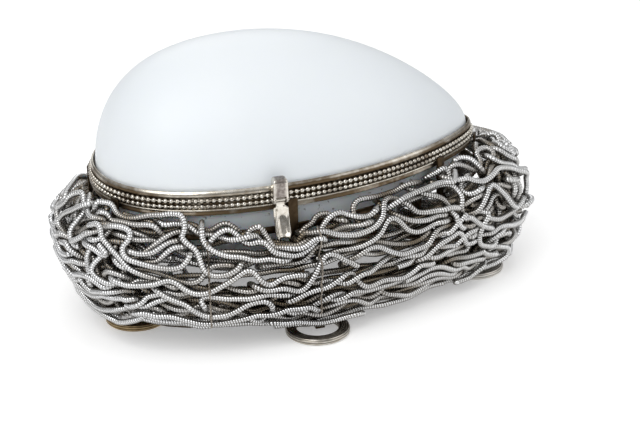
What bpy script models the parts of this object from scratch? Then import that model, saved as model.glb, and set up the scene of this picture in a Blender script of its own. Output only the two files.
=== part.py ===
"""Opaline egg trinket box in a nest of spiral-wound wire.

The origin is on the table under the middle of the whole piece, +Z is up, +X points along the egg to its
pointed end, and -Y is the front, where the clasp is. Sizes are in metres. A level is a height over the
seam between lid and base, and "out" is a distance outwards from the egg's outline at the seam.
"""
import math

import bmesh
import bpy
import numpy as np
from mathutils import Matrix, Vector

MM = 0.001

# Egg
EGG_LENGTH = 160 * MM
EGG_BREADTH = 86 * MM
EGG_POINT = 0.22
EGG_TAPER = 0.18
DOME_HEIGHT = 53 * MM
BOWL_DEPTH = 45 * MM
GLASS_WALL = 3.5 * MM
GLASS_SKIRT = 1.2 * MM
GLASS_ROUND = 40
GLASS_RISE = 16

# Gaps
FIT = 0.3 * MM
RUNNING_FIT = 0.08 * MM

# Metal mounts on the two glass edges
SEAM_GAP = 0.3 * MM
LEDGE_REACH = 2.6 * MM
LEDGE_THICKNESS = 0.8 * MM
MOUNT_WALL = 0.6 * MM
COLLAR_HEIGHT = 4.8 * MM
COLLAR_OUT = 1.8 * MM
COLLAR_WALL = 0.5 * MM
SKIRT_DEPTH = 5.0 * MM
SKIRT_TAPER = 0.6 * MM
ROLL_OUT = 2.9 * MM
ROLL_THICKNESS = 0.8 * MM
BEAD_DIAMETER = 1.8 * MM
OUTLINE_POINTS = 52
END_CROWDING = 0.33

# Hinge at the back
HINGE_WIDTH = 20 * MM
HINGE_TAB = 7 * MM
LEAF_THICKNESS = 1.0 * MM
LEAF_REACH = 6.6 * MM
LEAF_START = 2.7 * MM
KNUCKLE_DIAMETER = 4.4 * MM
HINGE_PIN_DIAMETER = 1.8 * MM
HINGE_PIN_PROUD = 0.6 * MM

# Clasp at the front, at a share of the egg's half length from its middle, with the hinge opposite
CLASP_SHARE = -0.23
LUG_WIDTH = 6.6 * MM
LUG_DEPTH = 4.4 * MM
LUG_TOP = 9.2 * MM
LUG_DROP = 1.1 * MM
LUG_ROUND = 0.8 * MM
CHEEK_WIDTH = 1.2 * MM
CLASP_AXIS_LEVEL = 0.4 * MM
CLASP_AXIS_OUT = 5.5 * MM
CLASP_KNUCKLE_DIAMETER = 2.5 * MM
CLASP_PIN_DIAMETER = 1.2 * MM
HASP_LENGTH = 15.2 * MM
HASP_WIDTH = 6.2 * MM
HASP_THICKNESS = 0.9 * MM
HASP_NECK = 2.6 * MM
HASP_FLARE = 3.6 * MM
HASP_DISH = 0.9 * MM
HASP_FLARE_START = 0.3
HASP_TIP_START = 0.75
HASP_TIP_ROUND = 0.7
HASP_STEPS_ACROSS = 4
HASP_STEPS_DOWN = 11
CATCH_WIDTH = 3.0 * MM
CATCH_HEIGHT = 2.4 * MM
CATCH_LEVEL = -4.2 * MM

# Feet, each at shares of the nest's half length and half breadth
FOOT_DIAMETER = 26.5 * MM
FOOT_BORE = 17 * MM
FOOT_HEIGHT = 3.0 * MM
FOOT_ROUND = 0.6 * MM
FOOT_STEPS = 20
FOOT_SHARES = {
    "left": (-0.697, -0.136),
    "front": (-0.061, -0.745),
    "right": (0.736, -0.2),
    "back": (0.01, 0.754),
}
ARM_LENGTH = 30 * MM
ARM_WIDTH = 4.0 * MM
ARM_THICKNESS = 1.2 * MM

# Cage of straps and hoops inside the nest
STRAP_WIDTH = 4.2 * MM
STRAP_THICKNESS = 1.0 * MM
STRAP_TURNS = (349.2, 38, 78, 133, 164, 200.8, 314.2)
STRAP_BESIDE_CLASP = 5.5 * MM
STRAP_TOP = -0.9 * MM
STRAP_IN_NEST = 7 * MM
STRAP_POINTS = 15
STRAP_BELLY = 0.55
STRAP_TUCK = 0.78
STRAP_FOOT = 0.93
STRAP_LINES = (-0.38, 0, 0.38)
MID_HOOP_LEVEL = -13.5 * MM
MID_HOOP_HEIGHT = 3.0 * MM
MID_HOOP_THICKNESS = 1.0 * MM
BASE_HOOP_DIAMETER = 3.0 * MM
BASE_HOOP_IN = 4 * MM

# Nest of wound wire, with its room outside the egg at the sides and at the two ends
NEST_FLOOR = 13.5 * MM
NEST_SIDE_ROOM = 18.5 * MM
NEST_BLUNT_ROOM = 21 * MM
NEST_POINT_ROOM = 27 * MM
NEST_TOP_SIDE = -8.5 * MM
NEST_TOP_END = -2 * MM
NEST_ROUND = 12 * MM
NEST_TOP_ANGLE = math.radians(75)
NEST_UNDER = 22 * MM
WIRE_DIAMETER = 2.7 * MM
WIRE_GAP = 0.45 * MM
WIRE_POINTS = 28
OUTER_WIRES = 16
INNER_WIRES = 8
INNER_LAYER = 3.4 * MM
INNER_TOP = 0.2
WALL_END = 0.74
CROWDING_DOWN = 0.8
WANDER_TOP = 6.5 * MM
WANDER_BOTTOM = 2.4 * MM
WANDER_WAVES = 6
OPEN_WIRES = (1, 4, 9, 13, 18)
OPEN_SHARE = 0.88
NEST_SEED = 11
RELAX_ROUNDS = 100
SETTLE_ROUNDS = 60
PAIR_ROUNDS = 8
PUSH_SHARE = 0.7
HOMING = 0.06
SMOOTHING = 0.08
POINT_DECIMALS = 9

# Thin wires tied round the outside of the nest
TIE_TURNS = (265, 235, 118, 52)
TIE_DIAMETER = 0.9 * MM
TIE_POINTS = 13
TIE_TOP = math.radians(60)
TIE_END = math.radians(-62)

HALF_LENGTH = EGG_LENGTH / 2
HALF_BREADTH = EGG_BREADTH / 2
EGG_X = (NEST_BLUNT_ROOM - NEST_POINT_ROOM) / 2
CLASP_X = EGG_X + CLASP_SHARE * HALF_LENGTH
SEAM = FOOT_HEIGHT + NEST_FLOOR + BOWL_DEPTH
WIRE_RADIUS = WIRE_DIAMETER / 2
FULL_TURN = 2 * math.pi


def bulge(u):
    """Share of the breadth that the egg keeps at u, from -1 at the blunt end to 1 at the point."""
    return 1 - EGG_POINT * u - EGG_TAPER * u ** 3


def outline(turn, out=0.0):
    """Plan position of the egg's outline at a turn in radians, moved outwards by out."""
    c, s = np.cos(turn), np.sin(turn)
    narrowing = EGG_POINT * s + 3 * EGG_TAPER * c ** 2 * s
    along_x = -HALF_LENGTH * s
    along_y = HALF_BREADTH * (c * bulge(c) + s * narrowing)
    size = np.hypot(along_x, along_y)
    x = EGG_X + HALF_LENGTH * c + out * along_y / size
    y = HALF_BREADTH * s * bulge(c) - out * along_x / size
    return x, y


def even_turns(count):
    """Turns round the outline, closer together at the two ends, where it bends most."""
    turns = np.arange(count) * FULL_TURN / count
    return turns - END_CROWDING * np.sin(2 * turns)


HALF_WIDTH = float(outline(np.linspace(0, FULL_TURN, 3601))[1].max())
NEST_HALF_LENGTH = HALF_LENGTH + (NEST_BLUNT_ROOM + NEST_POINT_ROOM) / 2
NEST_HALF_BREADTH = HALF_WIDTH + NEST_SIDE_ROOM
FOOT_PLACES = {name: (x * NEST_HALF_LENGTH, y * NEST_HALF_BREADTH) for name, (x, y) in FOOT_SHARES.items()}


def turn_at(x, front):
    """Turn of the outline's point at x, on the front or on the back."""
    turn = math.acos((x - EGG_X) / HALF_LENGTH)
    return FULL_TURN - turn if front else turn


def clear_scene():
    """Remove what a new Blender file holds."""
    for obj in list(bpy.data.objects):
        bpy.data.objects.remove(obj, do_unlink=True)


def collection(name):
    """New collection in the scene."""
    made = bpy.data.collections.new(name)
    bpy.context.scene.collection.children.link(made)
    return made


clear_scene()
PARTS = collection("opaline_egg_box")
GUIDES = collection("guides")


def material(name, colour, metallic, roughness):
    """Principled material of one colour."""
    made = bpy.data.materials.new(name)
    made.use_nodes = True
    shader = made.node_tree.nodes["Principled BSDF"]
    shader.inputs["Base Color"].default_value = (*colour, 1)
    shader.inputs["Metallic"].default_value = metallic
    shader.inputs["Roughness"].default_value = roughness
    return made


OPALINE = (0.86, 0.89, 0.92)
OLD_SILVER = (0.62, 0.58, 0.52)
BRONZE = (0.23, 0.17, 0.11)
WIRE_SILVER = (0.6, 0.6, 0.61)


def add(name, data, parent=None):
    """Object of the box from mesh or curve data."""
    obj = bpy.data.objects.new(name, data)
    PARTS.objects.link(obj)
    if parent is not None:
        obj.parent = parent
        obj.matrix_parent_inverse = parent.matrix_world.inverted()
    return obj


def paint(obj, colour, metallic, roughness):
    """Give an object its own material."""
    obj.data.materials.clear()
    obj.data.materials.append(material(obj.name, colour, metallic, roughness))
    return obj


def guide(obj):
    """Keep an object that only shapes others out of the model."""
    for holder in list(obj.users_collection):
        holder.objects.unlink(obj)
    GUIDES.objects.link(obj)
    obj.hide_render = True
    obj.display_type = "WIRE"
    return obj


def axis_empty(name, place, parent=None):
    """Empty on a joint's axis, which carries the pieces that turn about it."""
    obj = bpy.data.objects.new(name, None)
    PARTS.objects.link(obj)
    obj.location = place
    obj.empty_display_size = KNUCKLE_DIAMETER
    bpy.context.view_layer.update()
    if parent is not None:
        obj.parent = parent
        obj.matrix_parent_inverse = parent.matrix_world.inverted()
        bpy.context.view_layer.update()
    return obj


def smooth_curve(points, count):
    """Points at even shares of a smooth curve through the given points."""
    points = np.asarray(points, float)
    before = np.vstack([2 * points[0] - points[1], points, 2 * points[-1] - points[-2]])
    share = np.linspace(0, len(points) - 1, count)
    start = np.minimum(share.astype(int), len(points) - 2)
    f = (share - start)[:, None]
    a, b, c, d = (before[start + k] for k in range(4))
    bend = (2 * a - 5 * b + 4 * c - d) * f ** 2 + (3 * b - a - 3 * c + d) * f ** 3
    return (2 * b + (c - a) * f + bend) / 2


def tube(name, points, diameter, resolution, cyclic, parent=None):
    """Round wire along points."""
    data = bpy.data.curves.new(name, "CURVE")
    data.dimensions = "3D"
    data.bevel_depth = diameter / 2
    data.bevel_resolution = resolution
    data.use_fill_caps = True
    spline = data.splines.new("POLY")
    spline.points.add(len(points) - 1)
    for point, place in zip(spline.points, points):
        point.co = (*place, 1)
    spline.use_cyclic_u = cyclic
    spline.use_smooth = True
    return add(name, data, parent)


def outline_ring(level, out, count=OUTLINE_POINTS):
    """Closed line round the egg at one level and distance outwards."""
    x, y = outline(even_turns(count), out)
    return np.column_stack([x, y, np.full(count, SEAM + level)])


def section_ring(name, section, parent=None):
    """Moulding that runs round the egg, from its section as (out, level) corners, anticlockwise."""
    profile = bpy.data.curves.new(name + "_section", "CURVE")
    profile.dimensions = "2D"
    corners = profile.splines.new("POLY")
    corners.points.add(len(section) - 1)
    for point, (out, level) in zip(corners.points, reversed(section)):
        point.co = (out, level, 0, 1)
    corners.use_cyclic_u = True
    shape = guide(bpy.data.objects.new(name + "_section", profile))
    obj = tube(name, outline_ring(0, 0), 0, 0, True, parent)
    obj.data.bevel_mode = "OBJECT"
    obj.data.bevel_object = shape
    obj.data.twist_mode = "Z_UP"
    obj.data.splines[0].use_smooth = False
    return obj


def round_off(mesh, angle=35):
    """Smooth shading that keeps the sharp edges."""
    mesh.shade_smooth()
    mesh.set_sharp_from_angle(angle=math.radians(angle))


def box(name, low, high, bevel=0.0, parent=None):
    """Block between two corners, with rounded edges where asked."""
    low, high = Vector(low), Vector(high)
    bm = bmesh.new()
    place = Matrix.Translation((low + high) / 2) @ Matrix.Diagonal((*(high - low), 1))
    bmesh.ops.create_cube(bm, size=1, matrix=place)
    mesh = bpy.data.meshes.new(name)
    bm.to_mesh(mesh)
    bm.free()
    obj = add(name, mesh, parent)
    if bevel:
        rounding = obj.modifiers.new("Rounding", "BEVEL")
        rounding.width = bevel
        rounding.segments = 2
    return obj


def rod(name, diameter, start, end, sides=24, parent=None):
    """Cylinder between two points along X."""
    start, end = Vector(start), Vector(end)
    bm = bmesh.new()
    place = Matrix.Translation((start + end) / 2) @ Matrix.Rotation(math.pi / 2, 4, "Y")
    bmesh.ops.create_cone(bm, cap_ends=True, segments=sides, radius1=diameter / 2, radius2=diameter / 2,
                          depth=(end - start).length, matrix=place)
    mesh = bpy.data.meshes.new(name)
    bm.to_mesh(mesh)
    bm.free()
    round_off(mesh)
    return add(name, mesh, parent)


def bore_diameter(pin_diameter, sides=24):
    """Bore whose flats clear a pin by the running fit."""
    return (pin_diameter + 2 * RUNNING_FIT) / math.cos(math.pi / sides)


def combine(obj, others, operation):
    """Join other objects to one, or cut them out of it."""
    for other in others:
        guide(other)
        step = obj.modifiers.new(operation.title() + " " + other.name, "BOOLEAN")
        step.operation = operation
        step.object = other
    return obj


def glass_half(name, height, upwards, parent=None):
    """Half of the glass egg: an open shell whose edge stands square in its metal mount."""
    bm = bmesh.new()
    bmesh.ops.create_uvsphere(bm, u_segments=GLASS_ROUND, v_segments=GLASS_RISE, radius=1)
    below = [v for v in bm.verts if v.co.z < -0.5 / GLASS_RISE]
    bmesh.ops.delete(bm, geom=below, context="VERTS")
    edge_level = SEAM_GAP / 2 + LEDGE_THICKNESS + FIT
    rise = (height - edge_level - GLASS_SKIRT) / HALF_WIDTH
    for v in bm.verts:
        breadth = HALF_BREADTH * bulge(v.co.x)
        lift = edge_level + GLASS_SKIRT + rise * breadth * v.co.z
        v.co = (EGG_X + HALF_LENGTH * v.co.x, breadth * v.co.y, lift)
    rim = [e for e in bm.edges if e.is_boundary]
    skirt = bmesh.ops.extrude_edge_only(bm, edges=rim)["geom"]
    for v in skirt:
        if isinstance(v, bmesh.types.BMVert):
            v.co.z -= GLASS_SKIRT
    for v in bm.verts:
        v.co.z = SEAM + (v.co.z if upwards else -v.co.z)
    bmesh.ops.recalc_face_normals(bm, faces=bm.faces)
    top = max(bm.faces, key=lambda f: abs(f.calc_center_median().z - SEAM))
    if (top.normal.z > 0) != upwards:
        bmesh.ops.reverse_faces(bm, faces=bm.faces)
    mesh = bpy.data.meshes.new(name)
    bm.to_mesh(mesh)
    bm.free()
    round_off(mesh)
    obj = add(name, mesh, parent)
    wall = obj.modifiers.new("Wall", "SOLIDIFY")
    wall.thickness = GLASS_WALL
    wall.offset = -1
    return paint(obj, OPALINE, 0.0, 0.35)


def lid_section():
    """Section of the lid's mount: ledge under the glass, wall and flared collar."""
    half_seam = SEAM_GAP / 2
    ledge_top = half_seam + LEDGE_THICKNESS
    wall_out = FIT + MOUNT_WALL
    collar_start = half_seam + BEAD_DIAMETER + FIT
    return [
        (-LEDGE_REACH, half_seam), (wall_out, half_seam), (wall_out, collar_start),
        (COLLAR_OUT, COLLAR_HEIGHT), (COLLAR_OUT - COLLAR_WALL, COLLAR_HEIGHT),
        (wall_out - COLLAR_WALL, collar_start + COLLAR_WALL), (FIT, collar_start + COLLAR_WALL),
        (FIT, ledge_top), (-LEDGE_REACH, ledge_top),
    ]


def base_section():
    """Section of the base's mount: ledge under the glass edge, wall, roll and skirt."""
    half_seam = SEAM_GAP / 2
    ledge = half_seam + LEDGE_THICKNESS
    wall_out = FIT + MOUNT_WALL
    roll_top = half_seam + BEAD_DIAMETER + FIT
    roll_end = roll_top + ROLL_THICKNESS
    roll_edge = ROLL_OUT - ROLL_THICKNESS / 4
    return [
        (-LEDGE_REACH, -ledge), (FIT, -ledge), (FIT, -SKIRT_DEPTH), (ROLL_OUT - SKIRT_TAPER, -SKIRT_DEPTH),
        (ROLL_OUT - 2 * SKIRT_TAPER, -roll_end), (roll_edge, -roll_end), (ROLL_OUT, (-roll_top - roll_end) / 2),
        (roll_edge, -roll_top), (wall_out, -roll_top), (wall_out, -half_seam), (-LEDGE_REACH, -half_seam),
    ]


def beading(name, side, parent=None):
    """Wire along a mount next to the seam, side 1 on the lid and -1 on the base."""
    radius = BEAD_DIAMETER / 2
    line = outline_ring(side * (SEAM_GAP / 2 + radius), FIT + MOUNT_WALL + FIT + radius)
    return paint(tube(name, line, BEAD_DIAMETER, 1, True, parent), OLD_SILVER, 0.9, 0.35)


# Distance outwards past which nothing on the mounts reaches
RIM_OUT = max(COLLAR_OUT, ROLL_OUT, MOUNT_WALL + 2 * FIT + BEAD_DIAMETER)
HINGE_AXIS = Vector((CLASP_X, HALF_WIDTH + RIM_OUT + FIT + KNUCKLE_DIAMETER / 2, SEAM))
CLASP_AXIS = Vector((CLASP_X, -HALF_WIDTH - CLASP_AXIS_OUT, SEAM + CLASP_AXIS_LEVEL))

LID_TURN = axis_empty("lid_turn", HINGE_AXIS)
HASP_TURN = axis_empty("hasp_turn", CLASP_AXIS, LID_TURN)


def hinge_leaf(name, side, parent=None):
    """Leaf with its knuckles, side 1 on the lid with one knuckle and -1 on the base with two."""
    half = HINGE_WIDTH / 2
    tab = HINGE_TAB / 2
    near = HINGE_AXIS.y - KNUCKLE_DIAMETER / 2
    far = near + LEAF_THICKNESS
    levels = sorted((SEAM + side * LEAF_START, SEAM + side * LEAF_REACH))
    leaf = box(name, (CLASP_X - half, near, levels[0]), (CLASP_X + half, far, levels[1]), parent=parent)
    spans = [(-tab, tab)] if side > 0 else [(-half, -tab - FIT), (tab + FIT, half)]
    joined = []
    for number, (start, end) in enumerate(spans):
        neck_levels = sorted((SEAM, SEAM + side * (LEAF_START + LEAF_THICKNESS)))
        neck = box(f"{name}_neck_{number}", (CLASP_X + start, near, neck_levels[0]),
                   (CLASP_X + end, far - FIT, neck_levels[1]))
        barrel = rod(f"{name}_barrel_{number}", KNUCKLE_DIAMETER, HINGE_AXIS + Vector((start, 0, 0)),
                     HINGE_AXIS + Vector((end, 0, 0)))
        joined += [neck, barrel]
    bore = rod(name + "_bore", bore_diameter(HINGE_PIN_DIAMETER), HINGE_AXIS - Vector((HINGE_WIDTH, 0, 0)),
               HINGE_AXIS + Vector((HINGE_WIDTH, 0, 0)))
    combine(leaf, joined, "UNION")
    combine(leaf, [bore], "DIFFERENCE")
    return paint(leaf, OLD_SILVER, 0.9, 0.35)


def hinge_pin():
    """Pin through the three knuckles."""
    reach = Vector((HINGE_WIDTH / 2 + HINGE_PIN_PROUD, 0, 0))
    return paint(rod("hinge_pin", HINGE_PIN_DIAMETER, HINGE_AXIS - reach, HINGE_AXIS + reach),
                 OLD_SILVER, 0.9, 0.3)


def clasp_lug():
    """Cushion-shaped block on the lid's mount, slotted from below for the hasp's knuckle."""
    half = LUG_WIDTH / 2
    near = -HALF_WIDTH - RIM_OUT - FIT
    lug = box("clasp_lug", (CLASP_X - half, near - LUG_DEPTH, SEAM - LUG_DROP),
              (CLASP_X + half, near, SEAM + LUG_TOP), LUG_ROUND, LID_TURN)
    room = half - CHEEK_WIDTH
    slot_top = CLASP_AXIS.z + CLASP_KNUCKLE_DIAMETER / 2 + FIT
    slot = box("clasp_lug_slot", (CLASP_X - room, near - 2 * LUG_DEPTH, SEAM - LUG_TOP),
               (CLASP_X + room, near + LUG_DEPTH, slot_top))
    reach = Vector((LUG_WIDTH, 0, 0))
    bore = rod("clasp_lug_bore", bore_diameter(CLASP_PIN_DIAMETER), CLASP_AXIS - reach, CLASP_AXIS + reach)
    combine(lug, [slot, bore], "DIFFERENCE")
    return paint(lug, OLD_SILVER, 0.9, 0.3)


def clasp_pin():
    """Pin through the lug's cheeks."""
    reach = Vector((LUG_WIDTH / 2, 0, 0))
    pin = rod("clasp_pin", CLASP_PIN_DIAMETER, CLASP_AXIS - reach, CLASP_AXIS + reach, parent=LID_TURN)
    return paint(pin, OLD_SILVER, 0.9, 0.3)


def hasp():
    """Dished tongue that hangs from the lug's pin and flares at its lower end for a fingertip."""
    knuckle_half = LUG_WIDTH / 2 - CHEEK_WIDTH - FIT
    bm = bmesh.new()
    bmesh.ops.create_grid(bm, x_segments=HASP_STEPS_ACROSS, y_segments=HASP_STEPS_DOWN, size=1)
    for v in bm.verts:
        side, share = v.co.x, (1 - v.co.y) / 2
        drop = share * HASP_LENGTH
        widen = min(max((drop - HASP_NECK) / HASP_THICKNESS, 0), 1)
        tip = max((share - HASP_TIP_START) / (1 - HASP_TIP_START), 0)
        half = knuckle_half + (HASP_WIDTH / 2 - knuckle_half) * widen
        half *= math.sqrt(1 - HASP_TIP_ROUND * tip ** 2)
        flare = HASP_FLARE * max((share - HASP_FLARE_START) / (1 - HASP_FLARE_START), 0) ** 1.6
        dish = HASP_DISH * widen * side ** 2
        v.co = (CLASP_X + side * half, CLASP_AXIS.y - flare - dish, CLASP_AXIS.z - drop)
    bmesh.ops.recalc_face_normals(bm, faces=bm.faces)
    mesh = bpy.data.meshes.new("clasp_hasp")
    bm.to_mesh(mesh)
    bm.free()
    round_off(mesh)
    obj = add("clasp_hasp", mesh, HASP_TURN)
    plate = obj.modifiers.new("Plate", "SOLIDIFY")
    plate.thickness = HASP_THICKNESS
    plate.offset = 0
    knuckle_reach = Vector((knuckle_half, 0, 0))
    knuckle = rod("clasp_hasp_knuckle", CLASP_KNUCKLE_DIAMETER, CLASP_AXIS - knuckle_reach,
                  CLASP_AXIS + knuckle_reach)
    bore_reach = Vector((LUG_WIDTH, 0, 0))
    bore = rod("clasp_hasp_bore", bore_diameter(CLASP_PIN_DIAMETER), CLASP_AXIS - bore_reach,
               CLASP_AXIS + bore_reach)
    combine(obj, [knuckle], "UNION")
    combine(obj, [bore], "DIFFERENCE")
    return paint(obj, OLD_SILVER, 0.9, 0.25)


def catch():
    """Nose on the base's mount, close behind the hasp."""
    half = CATCH_WIDTH / 2
    near = -HALF_WIDTH - RIM_OUT - FIT
    far = CLASP_AXIS.y + HASP_THICKNESS / 2 + FIT
    obj = box("catch", (CLASP_X - half, far, SEAM + CATCH_LEVEL - CATCH_HEIGHT / 2),
              (CLASP_X + half, near, SEAM + CATCH_LEVEL + CATCH_HEIGHT / 2), FIT)
    return paint(obj, OLD_SILVER, 0.9, 0.3)


def foot(name, place):
    """Ring foot, a turned ring with a flat sole."""
    inner, outer = FOOT_BORE / 2, FOOT_DIAMETER / 2
    corner = FOOT_ROUND
    profile = [
        (inner + corner, FOOT_HEIGHT), (outer - corner, FOOT_HEIGHT), (outer, FOOT_HEIGHT - corner),
        (outer, corner), (outer - corner, 0), (inner + corner, 0), (inner, corner),
        (inner, FOOT_HEIGHT - corner),
    ]
    mesh = bpy.data.meshes.new(name)
    edges = [(k, (k + 1) % len(profile)) for k in range(len(profile))]
    mesh.from_pydata([(radius, 0, z) for radius, z in profile], edges, [])
    obj = add(name, mesh)
    obj.location = (*place, 0)
    turning = obj.modifiers.new("Turning", "SCREW")
    turning.steps = FOOT_STEPS
    turning.render_steps = FOOT_STEPS
    turning.use_merge_vertices = True
    turning.merge_threshold = 0.00001
    return paint(obj, OLD_SILVER, 0.9, 0.4)


def foot_arm(name, place):
    """Flat bar from a ring foot inwards, on which the lowest wires and the base hoop lie."""
    centre = Vector(place)
    inwards = (Vector((EGG_X, 0)) - centre).normalized()
    if abs(place[1]) > FOOT_DIAMETER:
        inwards = Vector((0, -math.copysign(1, place[1])))
    middle = centre + inwards * (ARM_LENGTH / 2 - ARM_WIDTH)
    half = Vector((ARM_LENGTH / 2, ARM_WIDTH / 2, ARM_THICKNESS / 2))
    obj = box(name, -half, half)
    obj.rotation_euler = (0, 0, math.atan2(inwards.y, inwards.x))
    obj.location = (middle.x, middle.y, FOOT_HEIGHT + FIT + ARM_THICKNESS / 2)
    return paint(obj, BRONZE, 0.8, 0.5)


# Height of the lowest wire's middle over the table, on the bars of the feet
WIRE_FLOOR = FOOT_HEIGHT + FIT + ARM_THICKNESS + FIT + WIRE_RADIUS
BASE_HOOP_Z = FOOT_HEIGHT + FIT + ARM_THICKNESS + FIT + BASE_HOOP_DIAMETER / 2


def nest_reach(turn):
    """How far out from the outline the middle of the outermost wire lies."""
    c = np.cos(turn)
    end = np.where(c > 0, NEST_POINT_ROOM, NEST_BLUNT_ROOM)
    return NEST_SIDE_ROOM - WIRE_RADIUS + (end - NEST_SIDE_ROOM) * np.abs(c) ** 3


def strap_line(turn):
    """Middle line of a strap as (out, level) points, from the base's mount down onto the base hoop."""
    tab_out = RIM_OUT + FIT + STRAP_THICKNESS / 2
    reach = float(nest_reach(turn)) - STRAP_IN_NEST
    hoop_top = BASE_HOOP_Z + BASE_HOOP_DIAMETER / 2 + FIT + STRAP_THICKNESS / 2 - SEAM
    low = WIRE_FLOOR - SEAM
    knots = [
        (tab_out, STRAP_TOP), (tab_out, MID_HOOP_LEVEL / 2), (tab_out, MID_HOOP_LEVEL - MID_HOOP_HEIGHT),
        (reach, STRAP_BELLY * low), (reach - 1.5 * STRAP_THICKNESS, STRAP_TUCK * low),
        (reach - 8 * STRAP_THICKNESS, STRAP_FOOT * low), (-BASE_HOOP_IN, hoop_top),
        (-BASE_HOOP_IN - STRAP_WIDTH, hoop_top),
    ]
    line = smooth_curve(knots, STRAP_POINTS)
    upper = line[:, 1] > MID_HOOP_LEVEL - MID_HOOP_HEIGHT
    line[upper, 0] = np.maximum(line[upper, 0], tab_out)
    line[:, 1] = np.maximum(line[:, 1], hoop_top)
    return line


def strap_places(turn):
    """Middle line of a strap in space, and the direction of its width."""
    places = []
    for out, level in strap_line(turn):
        x, y = outline(turn, out)
        places.append((x, y, SEAM + level))
    x1, y1 = outline(turn + 0.001)
    x0, y0 = outline(turn - 0.001)
    across = Vector((x1 - x0, y1 - y0, 0)).normalized()
    return np.array(places), np.array(across)


def strap(name, turn):
    """Flat strap from the base's mount down inside the nest."""
    places, across = strap_places(turn)
    bm = bmesh.new()
    rows = []
    for place in places:
        row = [bm.verts.new(place + across * side * STRAP_WIDTH / 2) for side in (-1, 1)]
        rows.append(row)
    for (a, b), (c, d) in zip(rows, rows[1:]):
        bm.faces.new((a, b, d, c))
    mesh = bpy.data.meshes.new(name)
    bm.to_mesh(mesh)
    bm.free()
    round_off(mesh)
    obj = add(name, mesh)
    plate = obj.modifiers.new("Plate", "SOLIDIFY")
    plate.thickness = STRAP_THICKNESS
    plate.offset = 0
    return paint(obj, BRONZE, 0.8, 0.5)


def mid_hoop():
    """Flat hoop inside the straps, under the base's mount."""
    out = RIM_OUT - MID_HOOP_THICKNESS
    low = MID_HOOP_LEVEL - MID_HOOP_HEIGHT / 2
    high = MID_HOOP_LEVEL + MID_HOOP_HEIGHT / 2
    section = [(out, low), (out + MID_HOOP_THICKNESS, low), (out + MID_HOOP_THICKNESS, high), (out, high)]
    return paint(section_ring("mid_hoop", section), BRONZE, 0.8, 0.5)


def base_hoop_line():
    """Middle line of the hoop that the straps end on."""
    return outline_ring(BASE_HOOP_Z - SEAM, -BASE_HOOP_IN)


def nest_point(turn, share, layer):
    """Place in the nest: share 0 at its top edge to 1 under the bowl, layer inwards from its outside."""
    c = np.abs(np.cos(turn))
    reach = nest_reach(turn)
    top = NEST_TOP_SIDE + (NEST_TOP_END - NEST_TOP_SIDE) * c ** 4
    low = WIRE_FLOOR - SEAM
    radius = (top - low) / (1 + math.sin(NEST_TOP_ANGLE))
    wall = 1 - NEST_UNDER / (NEST_UNDER + math.pi * radius)
    angle = NEST_TOP_ANGLE - (NEST_TOP_ANGLE + math.pi / 2) * np.minimum(share / wall, 1)
    under = np.maximum(share / wall - 1, 0) * wall / (1 - wall)
    out = reach - NEST_ROUND + (NEST_ROUND - layer) * np.cos(angle)
    level = low + radius + (radius - layer) * np.sin(angle)
    x, y = outline(turn, out)
    shrink = 1 - under * NEST_UNDER / HALF_WIDTH
    return np.column_stack([EGG_X + (x - EGG_X) * shrink, y * shrink, SEAM + level])


def wire_targets():
    """Paths that the wires would take if none were in another's way."""
    rng = np.random.default_rng(NEST_SEED)
    paths, closed = [], []
    for number in range(OUTER_WIRES + INNER_WIRES):
        outer = number < OUTER_WIRES
        place = (number + 0.5) / OUTER_WIRES if outer else (number - OUTER_WIRES + 0.5) / INNER_WIRES
        share = place ** CROWDING_DOWN if outer else INNER_TOP + (WALL_END - INNER_TOP) * place
        layer = 0 if outer else INNER_LAYER
        is_open = number in OPEN_WIRES
        sweep = FULL_TURN * (OPEN_SHARE if is_open else 1)
        steps = np.arange(WIRE_POINTS) / (WIRE_POINTS - 1 if is_open else WIRE_POINTS)
        turns = rng.uniform(0, FULL_TURN) + sweep * steps
        turns = turns - END_CROWDING / 2 * np.sin(2 * turns)
        height = WANDER_TOP + (WANDER_BOTTOM - WANDER_TOP) * min(share / WALL_END, 1)
        wander = np.zeros(WIRE_POINTS)
        weave = np.zeros(WIRE_POINTS)
        for waves in range(1, WANDER_WAVES + 1):
            wander += np.sin(waves * turns + rng.uniform(0, FULL_TURN)) * rng.uniform(0.3, 1) / waves ** 0.5
            weave += np.sin(waves * turns + rng.uniform(0, FULL_TURN)) * rng.uniform(0.3, 1)
        length = NEST_UNDER + math.pi * (SEAM - WIRE_FLOOR) / 2
        shares = np.clip(share + wander * height / length * (1 + np.cos(turns) ** 2), 0, 1)
        layers = layer + weave * WIRE_RADIUS / 2
        paths.append(nest_point(turns, shares, np.maximum(layers, 0)))
        closed.append(not is_open)
    return np.array(paths), np.array(closed)


def closest_shares(p, q, r, s):
    """Shares along the lines p-q and r-s of the points where they are closest."""
    first, second, between = q - p, s - r, p - r
    a = (first * first).sum(1)
    b = (first * second).sum(1)
    c = (first * between).sum(1)
    e = (second * second).sum(1)
    f = (second * between).sum(1)
    spread = a * e - b * b
    u = np.where(spread > 1e-9 * a * e, (b * f - c * e) / np.where(spread == 0, 1, spread), 0.5)
    v = (b * np.clip(u, 0, 1) + f) / e
    v = np.clip(v, 0, 1)
    u = np.clip((b * v - c) / a, 0, 1)
    return u, v


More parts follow.
